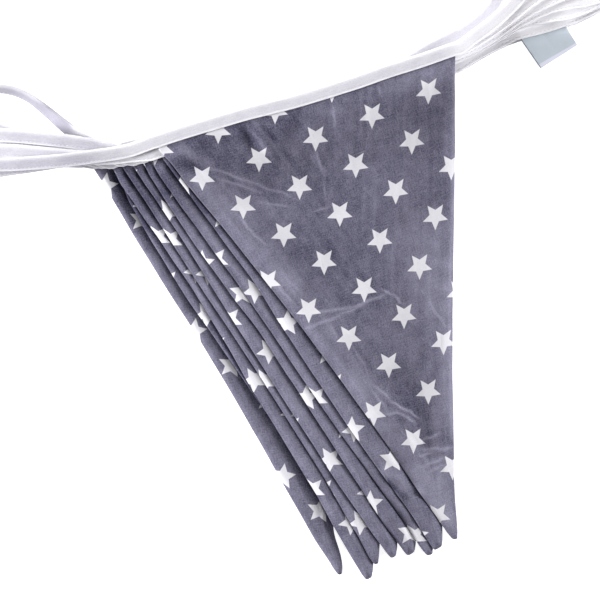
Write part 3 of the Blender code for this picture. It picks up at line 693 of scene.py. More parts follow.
def prepared(rows):
    ready = []
    for start, end, half, rise in rows:
        start, end = Vector(start), Vector(end)
        run = end - start
        reach = half * 3 + run.length * cloth["past"]
        box = (min(start.x, end.x) - reach, max(start.x, end.x) + reach,
               min(start.y, end.y) - reach, max(start.y, end.y) + reach)
        ready.append((start, run, half, rise, box))
    return ready


wrinkleRows = {level: prepared(rows) for level, rows in wrinkles.items()}
paintedLightAndShadeRows = {level: prepared(rows) for level, rows in paintedLightAndShade.items()}


# the painted light and shade at this plan point
def paintedLightAndShadeAt(level, spot):
    here = Vector(onPlan(spot))
    total = 0.0
    for start, run, half, amount, box in paintedLightAndShadeRows.get(level, ()):
        if box[0] < here.x < box[1] and box[2] < here.y < box[3]:
            total += amount * bell(distanceFrom(start, run, here) / half)
    return total


def foldsAt(level, spot):               # height of the creases here, and how pale their ridges are painted, partly as wear and partly as a painted highlight
    x, y = onPlan(spot)
    total, worn, past = 0.0, 0.0, cloth["past"]
    for start, run, half, rise, box in wrinkleRows.get(level, ()):
        if not (box[0] < x < box[1] and box[2] < y < box[3]):
            continue
        offset = Vector((x - start.x, y - start.y))
        share = offset.dot(run) / run.length_squared
        if not -past < share < 1.0 + past:
            continue
        light = half < cloth["light"]
        bend = noiseOf(share * cloth["bendSize"], start.x, start.y) * min(half, cloth["creaseBend"])
        half *= cloth["narrow"] if light else 1.0
        away = (offset.x * run.y - offset.y * run.x) / run.length + bend
        if abs(away) < half * 3:
            part = rise * bell(away / half) * ease(1.0 - abs(share - 0.5) / cloth["fadePast"])
            total += part * (cloth["sharp"] if light else 1.0)
            worn += max(part, 0.0) if light else 0.0
    return total * mm, worn


def topClear(flag, spot):               # distance to the nearest cloth that lies over this one
    return min((other.outside(spot) for other in flags[flag.level + 1:]), default=1.0)


def clothShape(flag, spot, depth, inset):           # middle height, half thickness and tone, with its painted light and shade
    pressing = pennantCut["pressedEnd"] - pennantCut["pressedTo"]
    pressed = 1.0 - ease((depth - pennantCut["pressedTo"]) / pressing)
    free = 1.0 - pressed
    turned = bell((inset - cloth["edgeAt"]) / cloth["edgeSoft"])
    half = cloth["half"] + (cloth["edgeHalf"] - cloth["half"]) * turned
    half = cloth["pressedHalf"] * pressed + half * free
    half *= rounded(inset / cloth["rounding"])
    clear = topClear(flag, spot)
    shown = ease(clear / cloth["coverSoft"])
    lift, worn = foldsAt(flag.level, spot)
    height = clothLevel(flag, spot) + lift * free * shown
    # crease ridges and rims painted paler, partly wear and partly a painted highlight
    tone = worn * cloth["worn"] * shown + cloth["rimWearAndHighlight"] * bell(inset / cloth["rimWearAndHighlightReach"])
    # the painted light and shade zones
    tone += paintedLightAndShadeAt(flag.level, spot)
    # painted shadow just under the tape's edge
    under = depth - sagAt(flag, flag.local(spot)[0] / pennantCut["width"])
    tone -= cloth["tapeShadow"] * bell(under / cloth["tapeShadowReach"])
    if flag is front:
        height += creaseHeight(*flag.local(spot)) * free
        share = inset / cloth["rollWidth"]
        if share < 1.0:
            rolled = ease(share * cloth["rollRise"]) * ease((1.0 - share) * cloth["rollFall"])
            height += cloth["roll"] * free * rolled
    elif clear > 0.0 and inset > 0.0:
        width = inset + clear
        vary = noiseOf(depth / cloth["puffSize"], flag.level * 1.7, 9.0)
        crown = min(cloth["puff"] * width, cloth["puffMost"]) * free * cloth["crowns"][flag.level]
        arch = sin(pi * min(inset / width, 1.0) ** cloth["crownAt"][flag.level])
        height += crown * (1.0 + cloth["puffVary"] * vary) * arch ** cloth["archPower"]
        # painted highlight on the crown
        tone += cloth["crests"][flag.level] * arch
        # painted shade beside the next cloth's edge
        tone -= cloth["deep"] * bell(clear / cloth["deepReach"][flag.level]) * free
    wavy = noise.noise(Vector((spot.x, spot.y, flag.level * 0.31)) / cloth["waveSize"])
    fine = noise.noise(Vector((spot.x, spot.y, flag.level * 0.57)) / cloth["fineSize"])
    streak = noiseOf(inset / cloth["streakAcross"], depth / cloth["streakDown"], flag.level * 2.3)
    uneven = cloth["wave"] * (wavy + 0.4) + cloth["fine"] * (fine + 0.3) + cloth["streak"] * streak
    height += uneven * free * ease(inset / cloth["waveSets"])
    tone += cloth["fineTone"] * fine + cloth["streakTone"] * streak
    pucker = noise.noise(Vector((depth, flag.level * 0.2, 0.1)) / cloth["puckerSize"])
    pucker *= bell(inset / cloth["puckerReach"]) * ease(inset / cloth["puckerSets"])
    height += cloth["pucker"] * pucker * free
    return height, half, clamp(tone, -1.0, cloth["toneMost"])


def printPlace(flag, spot):             # a plan point in print millimetres
    x, y = onPlan(spot)
    if flag is front:
        onCloth = []
        for row in frontPrint:
            turn, (xx, xy, yy) = radians(row["turn"]), row["bend"]
            bend = (xx * x * x + xy * x * y + yy * y * y) / 10000
            onCloth.append(row["start"] + row["scale"] * (x * cos(turn) + y * sin(turn)) + bend)
        return tuple(onCloth)
    row = prints[flag.level]
    turn, skewed = radians(row["turn"]), radians(row["turn"] + 90 + row["skew"])
    whole = (cos(turn) * sin(skewed) - sin(turn) * cos(skewed)) * row["scale"]
    u = (x * sin(skewed) - y * cos(skewed)) / whole
    v = (-x * sin(turn) + y * cos(turn)) / whole
    return u - row["star"][0], v - row["star"][1]


clothCells = dict(
    rim=(0, 0.08, 0.25, 0.5, 0.8, 1.2, 1.7, 2.3, 3.0, 3.8, 4.7, 5.7, 6.8),      # millimetres from a side
    strip=(8.0, 9.3, 10.7, 12.2, 13.8, 15.5, 17.3, 19.3, 21.5, 24.0),           # and on, along a left side
    inside=26, down=190,                # cells between the rims, and from the tape to the tip
    frontInside=220, frontDown=290,
    hiddenEvery=4,                      # the hidden skin has fewer cells
    tuck=-0.003, top=(0.003, 0.005),    # rows of points near the tape's edge
    tipFrom=0.004, tip=(0.2, 0.4, 0.58, 0.73, 0.85, 0.93, 0.98, 1.0),           # and over the blunt tip
    rimMost=0.42,                       # of the width, where the cloth is narrow
    tipEdge=0.8,                        # how far the tip's end counts as an edge
)


def makePennant(flag):
    isFront = flag is front
    rightStops = [stop * mm for stop in clothCells["rim"]]
    sideStops = rightStops if isFront else rightStops + [stop * mm for stop in clothCells["strip"]]
    inside = clothCells["frontInside" if isFront else "inside"]
    rowsDown = clothCells["frontDown" if isFront else "down"]
    skin = len(sideStops) + len(rightStops) - 2 + inside          # cells across one skin
    under = {*range(len(sideStops)), *range(len(sideStops), skin, clothCells["hiddenEvery"])}
    under = sorted(under | {*range(skin + 1 - len(rightStops), skin + 1)}, reverse=True)
    depths = [-pennantCut["tuck"], clothCells["tuck"], 0.0, pennantCut["pressedTo"], *clothCells["top"]]
    top, body, tip = depths[-1], flag.drop - clothCells["tipFrom"], flag.drop + pennantCut["tipRound"]
    depths += [top + (body - top) * (k / rowsDown) for k in range(1, rowsDown + 1)]
    depths += [body + (tip - body) * share for share in clothCells["tip"]]
    rows = len(depths) - 1
    plans = {}

    def spotAt(step, row):              # step counts cells from the left side
        depth = depths[row]
        capped = min(depth, flag.drop)
        left, right = flag.side(capped, False), flag.side(capped, True)
        end = (depth - body) / (tip - body)
        if end > 0.0:                   # the blunt tip closes as a half round
            close = max(1.0 - end ** flag.tipSquare, 0.0) ** (1.0 / flag.tipSquare)
            middle = (left + right) / 2
            left, right = middle + (left - middle) * close, middle + (right - middle) * close
        width = right - left
        squeeze = min(1.0, clothCells["rimMost"] * width / sideStops[-1])
        squeezeRight = min(1.0, clothCells["rimMost"] * width / rightStops[-1])
        if step < len(sideStops):
            away = sideStops[step] * squeeze
        elif step > skin - len(rightStops):
            away = width - rightStops[skin - step] * squeezeRight
        else:
            start, stop = sideStops[-1] * squeeze, width - rightStops[-1] * squeezeRight
            share = (step - len(sideStops) + 1) / inside
            away = start + (stop - start) * share
        spot = flag.corner + flag.along * (left + away) + flag.down * depth
        if end > 0.0:
            sideways = ((left + away) * 2 - left - right) / (2 * flag.tipHalf)
            spot += flag.down * flag.tipSlant * ease(end) * sideways
        inset = min(away, width - away) * flag.leftSlope
        inset = min(inset, max(tip - depth, 0.0) * clothCells["tipEdge"])
        return spot, depth, inset

    def place(column, row):
        step = column if column <= skin else under[column - skin]
        side = 1.0 if column <= skin else -1.0
        key = (step, row)
        if key not in plans:
            spot, depth, inset = spotAt(step, row)
            height, half, tone = clothShape(flag, spot, depth, inset)
            plans[key] = spot, height, half if row else 0.0, printPlace(flag, spot), tone
        spot, height, half, onCloth, tone = plans[key]
        return Vector((spot.x, spot.y, height + side * half)), onCloth, tone

    made = makeSleeve(flag.name + "_cloth", skin + len(under) - 1, rows, place, cotton)
    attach(made, "root")
    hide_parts(flag.name)
    area = (pennantCut["width"] / 2 + flag.tipHalf) * flag.drop + pennantCut["width"] * pennantCut["tuck"]
    return made, area


for flag in flags:
    made, area = makePennant(flag)
    print(made.name, len(made.data.polygons), "faces")


leftRoutes = [                          # millimetres, from each pennant's corner outwards
    [(-155, 90.2), (-171, 87.6), (-194, 84.2), (-212, 80.4), (-226, 77)],
    [(-142, 91.2), (-168, 90.6), (-194, 90.6), (-214, 92.4), (-226, 92.4)],
    [(-136, 91.6), (-162, 92.4), (-194, 93.8), (-214, 92.4), (-226, 92.4)],
    [(-131, 91.6), (-147, 95.6), (-168, 102.2), (-181, 105.4), (-194, 110.2), (-207, 117.6),
     (-218, 124.6), (-226, 129.6), (-233, 130.6)],
    [(-120, 94.6), (-130.5, 98.4), (-142, 104.8), (-155, 114.8), (-165, 123.2), (-174.5, 130.2),
     (-184, 134.8), (-194, 136.8), (-206, 136.6), (-218, 133.4), (-226, 130.6), (-233, 130.6)],
    [(-112, 93.4), (-129, 95.8), (-148, 101), (-168, 103), (-194, 104.8), (-218, 107.2),
     (-227, 107.2)],
    [(-105, 95.4), (-123, 97.2), (-142, 101.3), (-155, 103.2), (-174.5, 105.2), (-194, 106.8),
     (-218, 107.2), (-227, 107.2)],
    [(-105, 93.6), (-120, 92), (-136, 91.8), (-155, 93.4), (-174.5, 95.2), (-194, 96.6),
     (-209, 93.6), (-218, 91.4)],
    [(-103, 98.6), (-116.4, 95.1), (-136, 92.2), (-155, 89.9), (-174.5, 88.5), (-194, 87.6),
     (-209, 89.6), (-218, 91.4)],
]
rightRoutes = [
    [(66, 151.3), (77.6, 159.1), (92.5, 167.1), (109.3, 175.9), (119.6, 184.3), (126.7, 192.9),
     (131.4, 203.6), (133.8, 216), (133.8, 224)],
    [(77.6, 150.7), (94, 155.2), (110, 161.7), (124.8, 170.1), (137, 181.7), (143, 192.2),
     (141.6, 203.2), (136.4, 211), (133.8, 217), (133.8, 224)],
    [(84, 146.8), (99.6, 150), (108, 155.2), (121, 162.9), (134.5, 169.4), (143, 172.6),
     (154, 175.2), (176.5, 182.3), (192.7, 190.1), (210, 199.2), (219.8, 204.3)],
    [(87.3, 148.4), (99.6, 151.3), (108, 156.2), (121, 163.9), (134.5, 170.4), (143, 173.6),
     (154, 176.2), (176.5, 183.3), (192.7, 191.1), (210, 199.2), (219.8, 204.3)],
    [(94, 155.2), (110, 161.7), (126, 170.7), (139, 177.8), (155, 183), (174.6, 186.2),
     (194, 194.8), (206, 205), (213, 211)],
    [(100.2, 159.1), (116.4, 166.8), (132.6, 175.9), (145.5, 183), (158.4, 188.8),
     (171.3, 192), (184.3, 194), (197, 198.4), (206, 205), (213, 211)],
    [(106.7, 161.7), (123, 170.7), (137, 181), (152, 190.1), (168, 197.2), (187.5, 205),
     (199, 214), (205, 220)],
    [(110, 166.2), (126, 176.5), (139, 186.2), (152, 195.9), (167, 203.4), (187.5, 209),
     (199, 214.6), (205, 220)],
    [(114, 171.3), (126, 180.4), (135.8, 189.5), (145, 199.8), (156, 213.4), (170, 226.3),
     (184, 235), (200, 241), (217, 245.5)],
]
standing = dict(strand=4, tilt=radians(52), start=0.080, end=0.03)     # this strand lies half on edge
label = dict(
    along=(0.0700, 0.1005), strand=3, tuck=0.004,
    foot=((156.0, 150.0), (180.2, 165.4)), footHeight=0.0005,
    cloth=0.00026, gap=0.00016, gapInSeam=0.4, rows=40,
    stops=(-1.0, -0.5, 0.0, 0.08, 0.16, 0.26, 0.36, 0.46, 0.56, 0.66, 0.76, 0.85, 0.92, 0.965, 0.99),
    innerTo=0.97, innerFold=0.98,       # shares of the way from the seam to the fold, as the stops are
    edgeClear=0.001, arch=0.0012, archLeft=0.6,
    wave=0.00035, curl=0.0004,
    wide=29.0, long=19.0,               # what shows of it, in millimetres
)


def smoothRoute(points):                # a Catmull-Rom curve as closely spaced plan points
    padded = [points[0] * 2 - points[1]] + points + [points[-1] * 2 - points[-2]]
    fine = []
    for a, b, c, d in zip(padded, padded[1:], padded[2:], padded[3:]):
        fine += [between(a, b, c, d, k / tapeSize["routeFine"]) for k in range(tapeSize["routeFine"])]
    fine.append(points[-1])
    return fine


def walk(fine, stops):                  # plan points at these distances along the curve
    found, gone, wanted = [], 0.0, list(stops)
    for a, b in zip(fine, fine[1:]):
        length = (b - a).length
        while wanted and gone + length >= wanted[0] - 1e-9:
            found.append(a.lerp(b, (wanted[0] - gone) / length if length else 0.0))
            wanted.pop(0)
        gone += length
    return found + [fine[-1]] * len(wanted)


class Stop:                             # one cross-section of the tape
    def __init__(self, spot, slot, thin=True):
        self.spot, self.slot, self.height, self.tilt = spot, slot, 0.0, 0.0
        self.half = tapeSize["strip"] / 2 if thin else tapeSize["slot"] / 2 + tapeSize["wall"]
        self.angle = None


def flagStops(flag):
    middle = -flag.down * tapeSize["width"] / 2
    ends = (-tapeSize["slotEnd"], pennantCut["width"] + tapeSize["slotEnd"])
    sags = [flag.down * sagAt(flag, k / tapeSize["pieces"]) for k in range(tapeSize["pieces"] + 1)]
    stops = [Stop(flag.corner + flag.along * (ends[0] - tapeSize["shoulder"]) + middle + sags[0], False)]
    for k in range(tapeSize["pieces"] + 1):
        along = ends[0] + (ends[1] - ends[0]) * k / tapeSize["pieces"]
        stops.append(Stop(flag.corner + flag.along * along + middle + sags[k], True, thin=False))
    stops.append(Stop(flag.corner + flag.along * (ends[1] + tapeSize["shoulder"]) + middle + sags[-1], False))
    for stop in stops:
        stop.height = tapeLevel(flag.level)
    return stops


def strandStops(flag, route, right):
    outward = flag.along if right else -flag.along
    edge = tapeSize["slotEnd"] + tapeSize["shoulder"]
    edge = pennantCut["width"] + edge if right else -edge
    start = flag.corner + flag.along * edge - flag.down * (tapeSize["width"] / 2 - sagAt(flag, float(right)))
    points = [plan(point) for point in route]
    points = [start] + [p for p in points if (p - start).dot(outward) > tapeSize["firstClear"]]
    fine = smoothRoute(points)
    length = sum((b - a).length for a, b in zip(fine, fine[1:]))
    labelled = right and flag.level == label["strand"]
    step, marks = tapeSize["step"], []
    if labelled:
        first, last = label["along"]
        slotEnd, shoulder = tapeSize["slotEnd"], tapeSize["shoulder"]
        marks = [first - slotEnd - shoulder, first - slotEnd, (first + last) / 2,
                 last + slotEnd, last + slotEnd + shoulder]
    count = max(2, round(length / step))
    regular = [length * k / count for k in range(1, count + 1)]
    if labelled:
        regular = [r for r in regular if r < marks[0] - step / 2 or r > marks[-1] + step / 2]
    distances = sorted(regular + marks)
    stops = []
    for distance, spot in zip(distances, walk(fine, distances)):
        inSlot = labelled and marks[0] + 1e-6 < distance < marks[-1] - 1e-6
        stop = Stop(spot, inSlot, thin=not inSlot)
        if flag.level == standing["strand"] and not right:
            stop.tilt = standing["tilt"] * ease(distance / standing["start"])
            stop.tilt *= ease((length - distance) / standing["end"])
        stops.append(stop)
    return stops


def settle(stops, startHeight, laid, endLeast):      # onto the floor and the strands under it
    least = []
    for stop in stops:
        onEdge = abs(sin(stop.tilt)) * tapeSize["width"] / 2
        need = stop.half + onEdge
        for a, b in laid:
            offset = a.spot - stop.spot
            if max(abs(offset.x), abs(offset.y)) > tapeSize["searchReach"]:
                continue
            run = b.spot - a.spot
            share = clamp((stop.spot - a.spot).dot(run) / max(run.length_squared, 1e-12))
            if (a.spot + run * share - stop.spot).length < tapeSize["width"] * tapeSize["crossingReach"]:
                under = a.height + (b.height - a.height) * share + max(a.half, b.half)
                under += max(abs(sin(a.tilt)), abs(sin(b.tilt))) * tapeSize["width"] / 2
                slope = abs(a.height - b.height) / max(run.length, 1e-6)
                need = max(need, under + slope * tapeSize["width"] / 2 + tapeSize["gap"] + stop.half + onEdge)
        least.append(need)
    least[-1] = max(least[-1], endLeast)
    places = [0.0]
    for a, b in zip(stops, stops[1:]):
        places.append(places[-1] + (b.spot - a.spot).length)
    for stop, place in zip(stops, places):
        height = max(need - tapeSize["slope"] * abs(place - other) for need, other in zip(least, places))
        stop.height = max(height, startHeight - tapeSize["slope"] * (place + places[1]))


def pairs(stops):
    return list(zip(stops, stops[1:]))


def turnBack(lower, upper):             # the soft fold that joins two strands' ends
    a, b = lower[-1], upper[-1]
    outward = (a.spot - lower[-2].spot).normalized()
    radius = (b.height - a.height) / 2
    stops = []
    for k in range(1, tapeSize["loopSides"]):
        angle = pi * k / tapeSize["loopSides"]
        stop = Stop(a.spot.lerp(b.spot, k / tapeSize["loopSides"]) + outward * radius * sin(angle), False)
        stop.height = a.height + radius * (1.0 - cos(angle))
        stop.angle, stop.outward = angle, outward
        stops.append(stop)
    return stops


def layTape():                          # all cross-sections, from the lowest pennant's free end on
    laid, left, middle, right = [], [], [], []
    for flag in flags:
        level, body, sides = flag.level, flagStops(flag), []
        for route, isRight in ((leftRoutes[level], False), (rightRoutes[level], True)):
            stops = strandStops(flag, route, isRight)
            partner = (right if isRight else left)[level - 1] if level else None
            joined = partner and ((level % 2 == 1) == isRight)
            endLeast = partner[-1].height + tapeSize["loopRise"] if joined else 0.0
            settle(stops, tapeLevel(level), laid, endLeast)
            sides.append(stops)
        left.append(sides[0])
        right.append(sides[1])
        middle.append(body)
        for stops, shoulder in ((sides[0], body[0]), (sides[1], body[-1])):
            laid += pairs([shoulder] + stops)
        laid += pairs(body)
    chain = []
    for level in range(len(flags)):
        forward = level % 2 == 0
        arriving, leaving = (left, right) if forward else (right, left)
        chain += arriving[level][::-1] + (middle[level] if forward else middle[level][::-1]) + leaving[level]
        if level + 1 < len(flags):
            chain += turnBack(leaving[level], leaving[level + 1])
    return chain, right[label["strand"]]


def tapeFrames(chain):                  # middle, across and through at each cross-section
    spots = [Vector((s.spot.x, s.spot.y, s.height)) for s in chain]
    found, across = [], Vector((*flags[0].down, 0.0))
    for k, stop in enumerate(chain):
        ahead = spots[min(k + 1, len(chain) - 1)] - spots[max(k - 1, 0)]
        if stop.angle is not None:
            ahead = Vector((*stop.outward, 0.0)) * cos(stop.angle) + Vector((0, 0, sin(stop.angle)))
        ahead.normalize()
        if Vector((ahead.x, ahead.y)).length > 0.25:
            side = Vector((-ahead.y, ahead.x, 0.0)).normalized()
            across = side if side.dot(across) > 0 else -side
        tilted = across
        if stop.tilt:
            tilted = (across * cos(stop.tilt) - Vector((0, 0, 1)) * sin(stop.tilt)).normalized()
        found.append((spots[k], tilted, ahead.cross(tilted).normalized()))
    return found


chain, labelled = layTape()
found = tapeFrames(chain)
print("tape laid,", len(chain), "stops")

tapeLook = dict(
    step=0.0028,                        # from one finer cross-section to the next
    stripGap=0.00012,                   # half the air between the halves where they are sewn together
    roundFold=0.0011, roundEdge=0.0004, wallLeast=0.0001, faceClear=0.00008,
    foldPuff=0.00034, foldPuffAt=-0.0030, foldPuffSoft=0.0010,      # the folded edge is a little fuller
    stitchAt=0.0029, stitchDip=0.00020, stitchSoft=0.0006, stitchPitch=0.0027,
    roll=radians(11.2), rollSize=0.055, # slow rolling of the free strands
    stitchBetween=0.45,                 # the dip between two stitches, to the dip at them
    waver=0.00035, waverSize=0.03, ripple=0.00014, rippleSize=0.0045, rippleAcross=0.002,
    # painted highlights on the folded and sewn edges, painted shade across the middle and in the seam
    toneFold=0.9, toneMiddle=-0.20, toneEdge=0.75, toneSeam=-0.2, tones=0.9,
    foldReach=0.0021, middleReach=0.0026, edgeReach=0.0010,
    fromEdge=(0, 0.0001, 0.0004, 0.0009), fromStitch=(0.0003, 0, -0.0004),      # where its section has points
    face=(0.0019, 0.0008, -0.0006, -0.0019, -0.0029, -0.0035, -0.0039, -0.0042, -0.0044),
    innerEdge=0.0001, inner=(0.0015, -0.0030), innerFold=-0.0034,
    turnRun=0.0006,                     # cloth taken by a turn round an edge
)


def finerTape():
    last = len(chain) - 1
    fine, gone = [], 0.0
    for k in range(last):
        a, b, c, d = (found[min(max(k + j, 0), last)] for j in (-1, 0, 1, 2))
        length = (c[0] - b[0]).length
        count = max(2, round(length / tapeLook["step"]))
        for j in range(count):
            t = j / count
            middle = between(a[0], b[0], c[0], d[0], t)
            across = b[1].lerp(c[1], t).normalized()
            through = b[2].lerp(c[2], t).normalized()
            slot = (1.0 - t) * chain[k].slot + t * chain[k + 1].slot
            half = (1.0 - t) * chain[k].half + t * chain[k + 1].half
            fine.append(dict(middle=middle, across=across, through=through, slot=slot, half=half,
                             along=gone + length * t))
        gone += length
    middle, across, through = found[last]
    half = chain[last].half
    fine.append(dict(middle=middle, across=across, through=through, slot=0.0, half=half, along=gone))
    for ring in fine:                   # free strands roll and waver a little
        free = 1.0 - ease(ring["slot"])
        at = ring["along"]
        roll = tapeLook["roll"] * free * noiseOf(at / tapeLook["rollSize"], 0.3, 0.7)
        ring["across"], ring["through"] = (ring["across"] * cos(roll) + ring["through"] * sin(roll),
                                           ring["through"] * cos(roll) - ring["across"] * sin(roll))
        waver = tapeLook["waver"] * noiseOf(at / tapeLook["waverSize"], 5.1, 2.2)
        ring["middle"] = ring["middle"] + ring["across"] * waver
    return fine, gone


rings, tapeLength = finerTape()
print(f"tape is {tapeLength:.3f} m long")


def tapeSection():
    # (across from the middle, side, layer) round the section; layer 1 is outside, 0 the inner face
    wide = tapeSize["width"] / 2
    outer = [wide - a for a in tapeLook["fromEdge"]]
    outer += [tapeLook["stitchAt"] + a for a in tapeLook["fromStitch"]] + [*tapeLook["face"]]
    section = [(a, 1.0, 1) for a in outer] + [(-wide, 0.0, 1)] + [(a, -1.0, 1) for a in outer[::-1]]
    inner = [wide - tapeLook["innerEdge"], *tapeLook["inner"]]
    section += [(a, -1.0, 0) for a in inner] + [(tapeLook["innerFold"], 0.0, 0)]
    section += [(a, 1.0, 0) for a in inner[::-1]]
    return section + [section[0]]


section = tapeSection()


def tapePlace(column, row):
    ring = rings[row]
    across, side, layer = section[column]
    wide = tapeSize["width"] / 2
    slot = ease(ring["slot"])
    gap = tapeLook["stripGap"] * (1.0 - slot) + (tapeSize["slot"] / 2) * slot
    lift, tone = gap, 0.0
    if layer:
        fold = min((across + wide) / tapeLook["roundFold"], 1.0)
        lift = ring["half"] * rounded(fold)
        wall = max(ring["half"] - gap, tapeLook["wallLeast"])
        lift -= wall * 0.5 * (1.0 - rounded((wide - across) / tapeLook["roundEdge"]))
        lift += tapeLook["foldPuff"] * bell((across - tapeLook["foldPuffAt"]) / tapeLook["foldPuffSoft"])
        phase = 0.5 + 0.5 * cos(2 * pi * ring["along"] / tapeLook["stitchPitch"])
        seam = bell((across - tapeLook["stitchAt"]) / tapeLook["stitchSoft"])
        dip = tapeLook["stitchBetween"] + (1.0 - tapeLook["stitchBetween"]) * phase
        lift -= tapeLook["stitchDip"] * seam * dip
        place = ring["along"] / tapeLook["rippleSize"], across / tapeLook["rippleAcross"], side * 3.0
        lift += tapeLook["ripple"] * noiseOf(*place) * fold
        lift = max(lift, gap + tapeLook["faceClear"]) if abs(side) > 0 and fold >= 1.0 else lift
        # painted highlight on the fold and sewn edge, painted shade in the middle and seam, then the painted
        # light and shade zones
        tone = tapeLook["toneFold"] * bell((across + wide) / tapeLook["foldReach"])
        tone += tapeLook["toneMiddle"] * bell(across / tapeLook["middleReach"])
        tone += tapeLook["toneEdge"] * bell((across - wide) / tapeLook["edgeReach"])
        tone += tapeLook["toneSeam"] * seam
        tone = clamp(tone * tapeLook["tones"] + paintedLightAndShadeAt("tape", ring["middle"]), -1.0)
    spot = ring["middle"] + ring["across"] * across + ring["through"] * (side * lift)
    return spot, (ring["along"] / mm, sectionRun[column] / mm), tone


sectionRun = [0.0]
for (a, sideA, _), (b, sideB, _) in zip(section, section[1:]):
    sectionRun.append(sectionRun[-1] + hypot(a - b, (sideA - sideB) * tapeLook["turnRun"]))
tape = makeSleeve("binding_tape", len(section) - 1, len(rings) - 1, tapePlace, white)
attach(tape, "root")
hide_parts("tape")
print("tape", len(tape.data.polygons), "faces")


def makeStitches():                     # short threads on both faces, where the binding is sewn shut
    oneData = bmesh.new()
    bmesh.ops.create_icosphere(oneData, subdivisions=1, radius=0.5)
    corners = [vert.co.copy() for vert in oneData.verts]
    sides = [[vert.index for vert in face.verts] for face in oneData.faces]
    oneData.free()
    points, faces = [], []
    gone, row = 0.0, 0
    while gone < tapeLength - tapeLook["stitchPitch"]:
        gone += tapeLook["stitchPitch"]
        while row + 2 < len(rings) and rings[row + 1]["along"] < gone:
            row += 1
        a, b = rings[row], rings[row + 1]
        share = (gone - a["along"]) / max(b["along"] - a["along"], 1e-6)
        ahead = (b["middle"] - a["middle"]).normalized()
        middle = a["middle"].lerp(b["middle"], share) + a["across"] * tapeLook["stitchAt"]
        half = a["half"] + (b["half"] - a["half"]) * share
        half -= tapeLook["stitchDip"] * tapeLook["stitchBetween"] + threadLook["sink"]
        size = (ahead * threadLook["length"], a["across"] * threadLook["thick"],
                a["through"] * threadLook["high"])
        for side in (1.0, -1.0):
            spot = middle + a["through"] * side * half
            if spot.z > threadLook["high"]:
                first = len(points)
                points += [spot + size[0] * c.x + size[1] * c.y + size[2] * c.z for c in corners]
                faces += [[first + k for k in face] for face in sides]
    mesh = bpy.data.meshes.new("tape_stitches")
    mesh.from_pydata(points, [], faces)
    meshData = bmesh.new()
    meshData.from_mesh(mesh)
    bmesh.ops.recalc_face_normals(meshData, faces=meshData.faces)
    meshData.to_mesh(mesh)
    meshData.free()
    mesh.polygons.foreach_set("use_smooth", [True] * len(mesh.polygons))
    mesh.materials.append(thread)
    made = bpy.data.objects.new("tape_stitches", mesh)
    collection.objects.link(made)
    return made


stitches = makeStitches()
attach(stitches, "root")
print("stitches", len(stitches.data.polygons), "faces")


def makeLabel():
    held = [k for k, stop in enumerate(chain) if stop in labelled and stop.slot]
    held.sort(key=lambda k: labelled.index(chain[k]))
    held = [found[k] for k in held]
    length = (held[0][0] - held[-1][0]).length
    feet = [Vector((*plan(point), label["footHeight"])) for point in label["foot"]]

    def line(share):                    # top point, across direction and foot of one cross-section
        inside = tapeSize["slotEnd"] / length
        part = (inside + (1.0 - 2 * inside) * share) * (len(held) - 1)
        k = min(int(part), len(held) - 2)
        top = held[k][0].lerp(held[k + 1][0], part - k)
        across = held[k][1].lerp(held[k + 1][1], part - k).normalized()
        edge = top + across * (tapeSize["width"] / 2 + label["edgeClear"])
        return edge, across, feet[0].lerp(feet[1], share)

    goes = label["stops"]
    section = [(go, 1.0, 1) for go in goes] + [(1.0, 0.0, 1)] + [(go, -1.0, 1) for go in goes[::-1]]
    inner = [go for go in goes if go < label["innerTo"]]
    section += [(go, -1.0, 0) for go in inner] + [(label["innerFold"], 0.0, 0)]
    section += [(go, 1.0, 0) for go in inner[::-1]] + [section[0]]

    def place(column, row):
        go, side, layer = section[column]
        share = row / label["rows"]
        near, across, foot = line(share)
        if go <= 0.0:
            spot = near + across * (go * label["tuck"] - (label["edgeClear"] if go < 0 else 0.0))
        else:
            spot = near.lerp(foot, go)
            spot.z = near.z + (foot.z - near.z) * ease(go)
            spot.z += label["arch"] * sin(pi * go) * (label["archLeft"] + (1.0 - label["archLeft"]) * share)
            spot.z += label["wave"] * noiseOf(share * 2.6, go * 2.4, 3.3)
        gap = label["gap"] * (label["gapInSeam"] + (1.0 - label["gapInSeam"]) * ease(go))
        half = gap + (label["cloth"] if layer else 0.0)
        curl = label["curl"] * ease(go) * (2 * share - 1) ** 2
        onCloth = share * label["wide"], go * label["long"] * (1 if side > 0 else -1)
        return spot + Vector((0, 0, side * half + curl)), onCloth, 0.0

    return makeSleeve("blank_label", len(section) - 1, label["rows"], place, ice)


tag = makeLabel()
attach(tag, "root")
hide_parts("label")
print("label made")


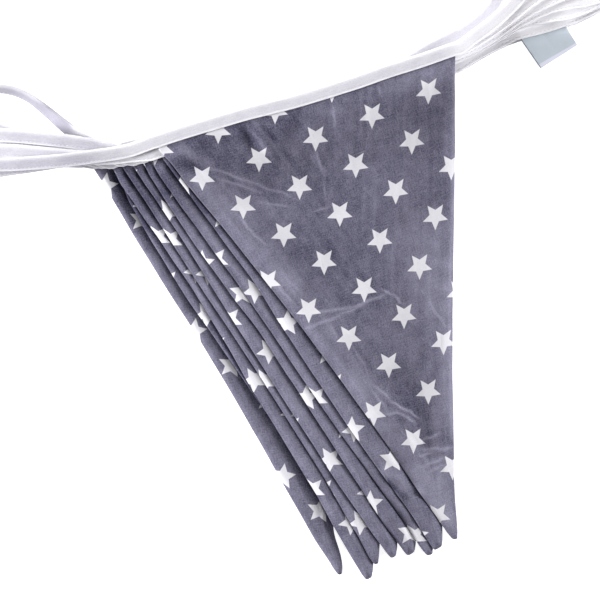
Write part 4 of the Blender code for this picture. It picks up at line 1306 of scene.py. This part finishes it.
studio = dict(
    centre=(0.0063, -0.0351), across=0.38796, focus=0.012,
    lens=400.0, sensor=36.0, sees=50.0,
    sky=0.16, skyTint=(1.0, 1.0, 1.0),
    floor=(0.97, 0.97, 0.97), floorRough=0.9, floorHalf=6.0, floorAt=-0.0001,
    glow=(1.0, 1.0, 1.0), floorGlow=0.80,         # a lit table, so the picture's ground is white
    aim=(0.0, -0.03, 0.01),
    lamps=(                             # turn and height in degrees, distance and sizes in metres, watts
        (180, 17, 2.5, 0.9, 0.6, 125.0),
        (8, 14, 2.5, 0.9, 0.6, 80.0),
        (100, 30, 2.5, 1.2, 0.8, 26.0),
    ),
)
floorData = bmesh.new()
bmesh.ops.create_grid(floorData, x_segments=1, y_segments=1, size=studio["floorHalf"])
bmesh.ops.translate(floorData, vec=(0, 0, studio["floorAt"]), verts=floorData.verts)
floorMesh = bpy.data.meshes.new("floor")
floorData.to_mesh(floorMesh)
floorData.free()
floor = bpy.data.objects.new("floor", floorMesh)
collection.objects.link(floor)
floorPaint, _, floorShader = newPaint("floor", studio["floor"], studio["floorRough"])
floorShader.inputs["Emission Color"].default_value = (*studio["glow"], 1.0)
floorShader.inputs["Emission Strength"].default_value = studio["floorGlow"]
floorMesh.materials.append(floorPaint)

world = bpy.data.worlds.new("studio")
world.use_nodes = True
sky = world.node_tree.nodes["Background"]
sky.inputs["Color"].default_value = (*studio["skyTint"], 1.0)
sky.inputs["Strength"].default_value = studio["sky"]
scene.world = world

for number, (turn, rise, distance, wide, high, watts) in enumerate(studio["lamps"]):
    lampData = bpy.data.lights.new(f"softbox_{number + 1}", "AREA")
    lampData.shape, lampData.size, lampData.size_y, lampData.energy = "RECTANGLE", wide, high, watts
    lamp = bpy.data.objects.new(lampData.name, lampData)
    turn, rise = radians(turn), radians(rise)
    way = Vector((cos(rise) * cos(turn), cos(rise) * sin(turn), sin(rise)))
    lamp.location = Vector(studio["aim"]) + way * distance
    lamp.rotation_euler = way.to_track_quat("Z", "Y").to_euler()
    lamp.visible_camera = False
    collection.objects.link(lamp)

camera = bpy.data.cameras.new("camera")
camera.lens = studio["lens"]
camera.sensor_width = studio["sensor"]
camera.clip_end = studio["sees"]
eye = bpy.data.objects.new("camera", camera)
eye.location = (*studio["centre"], studio["focus"] + studio["across"] * studio["lens"] / studio["sensor"])
collection.objects.link(eye)
scene.camera = eye
scene.view_settings.view_transform = "Standard"
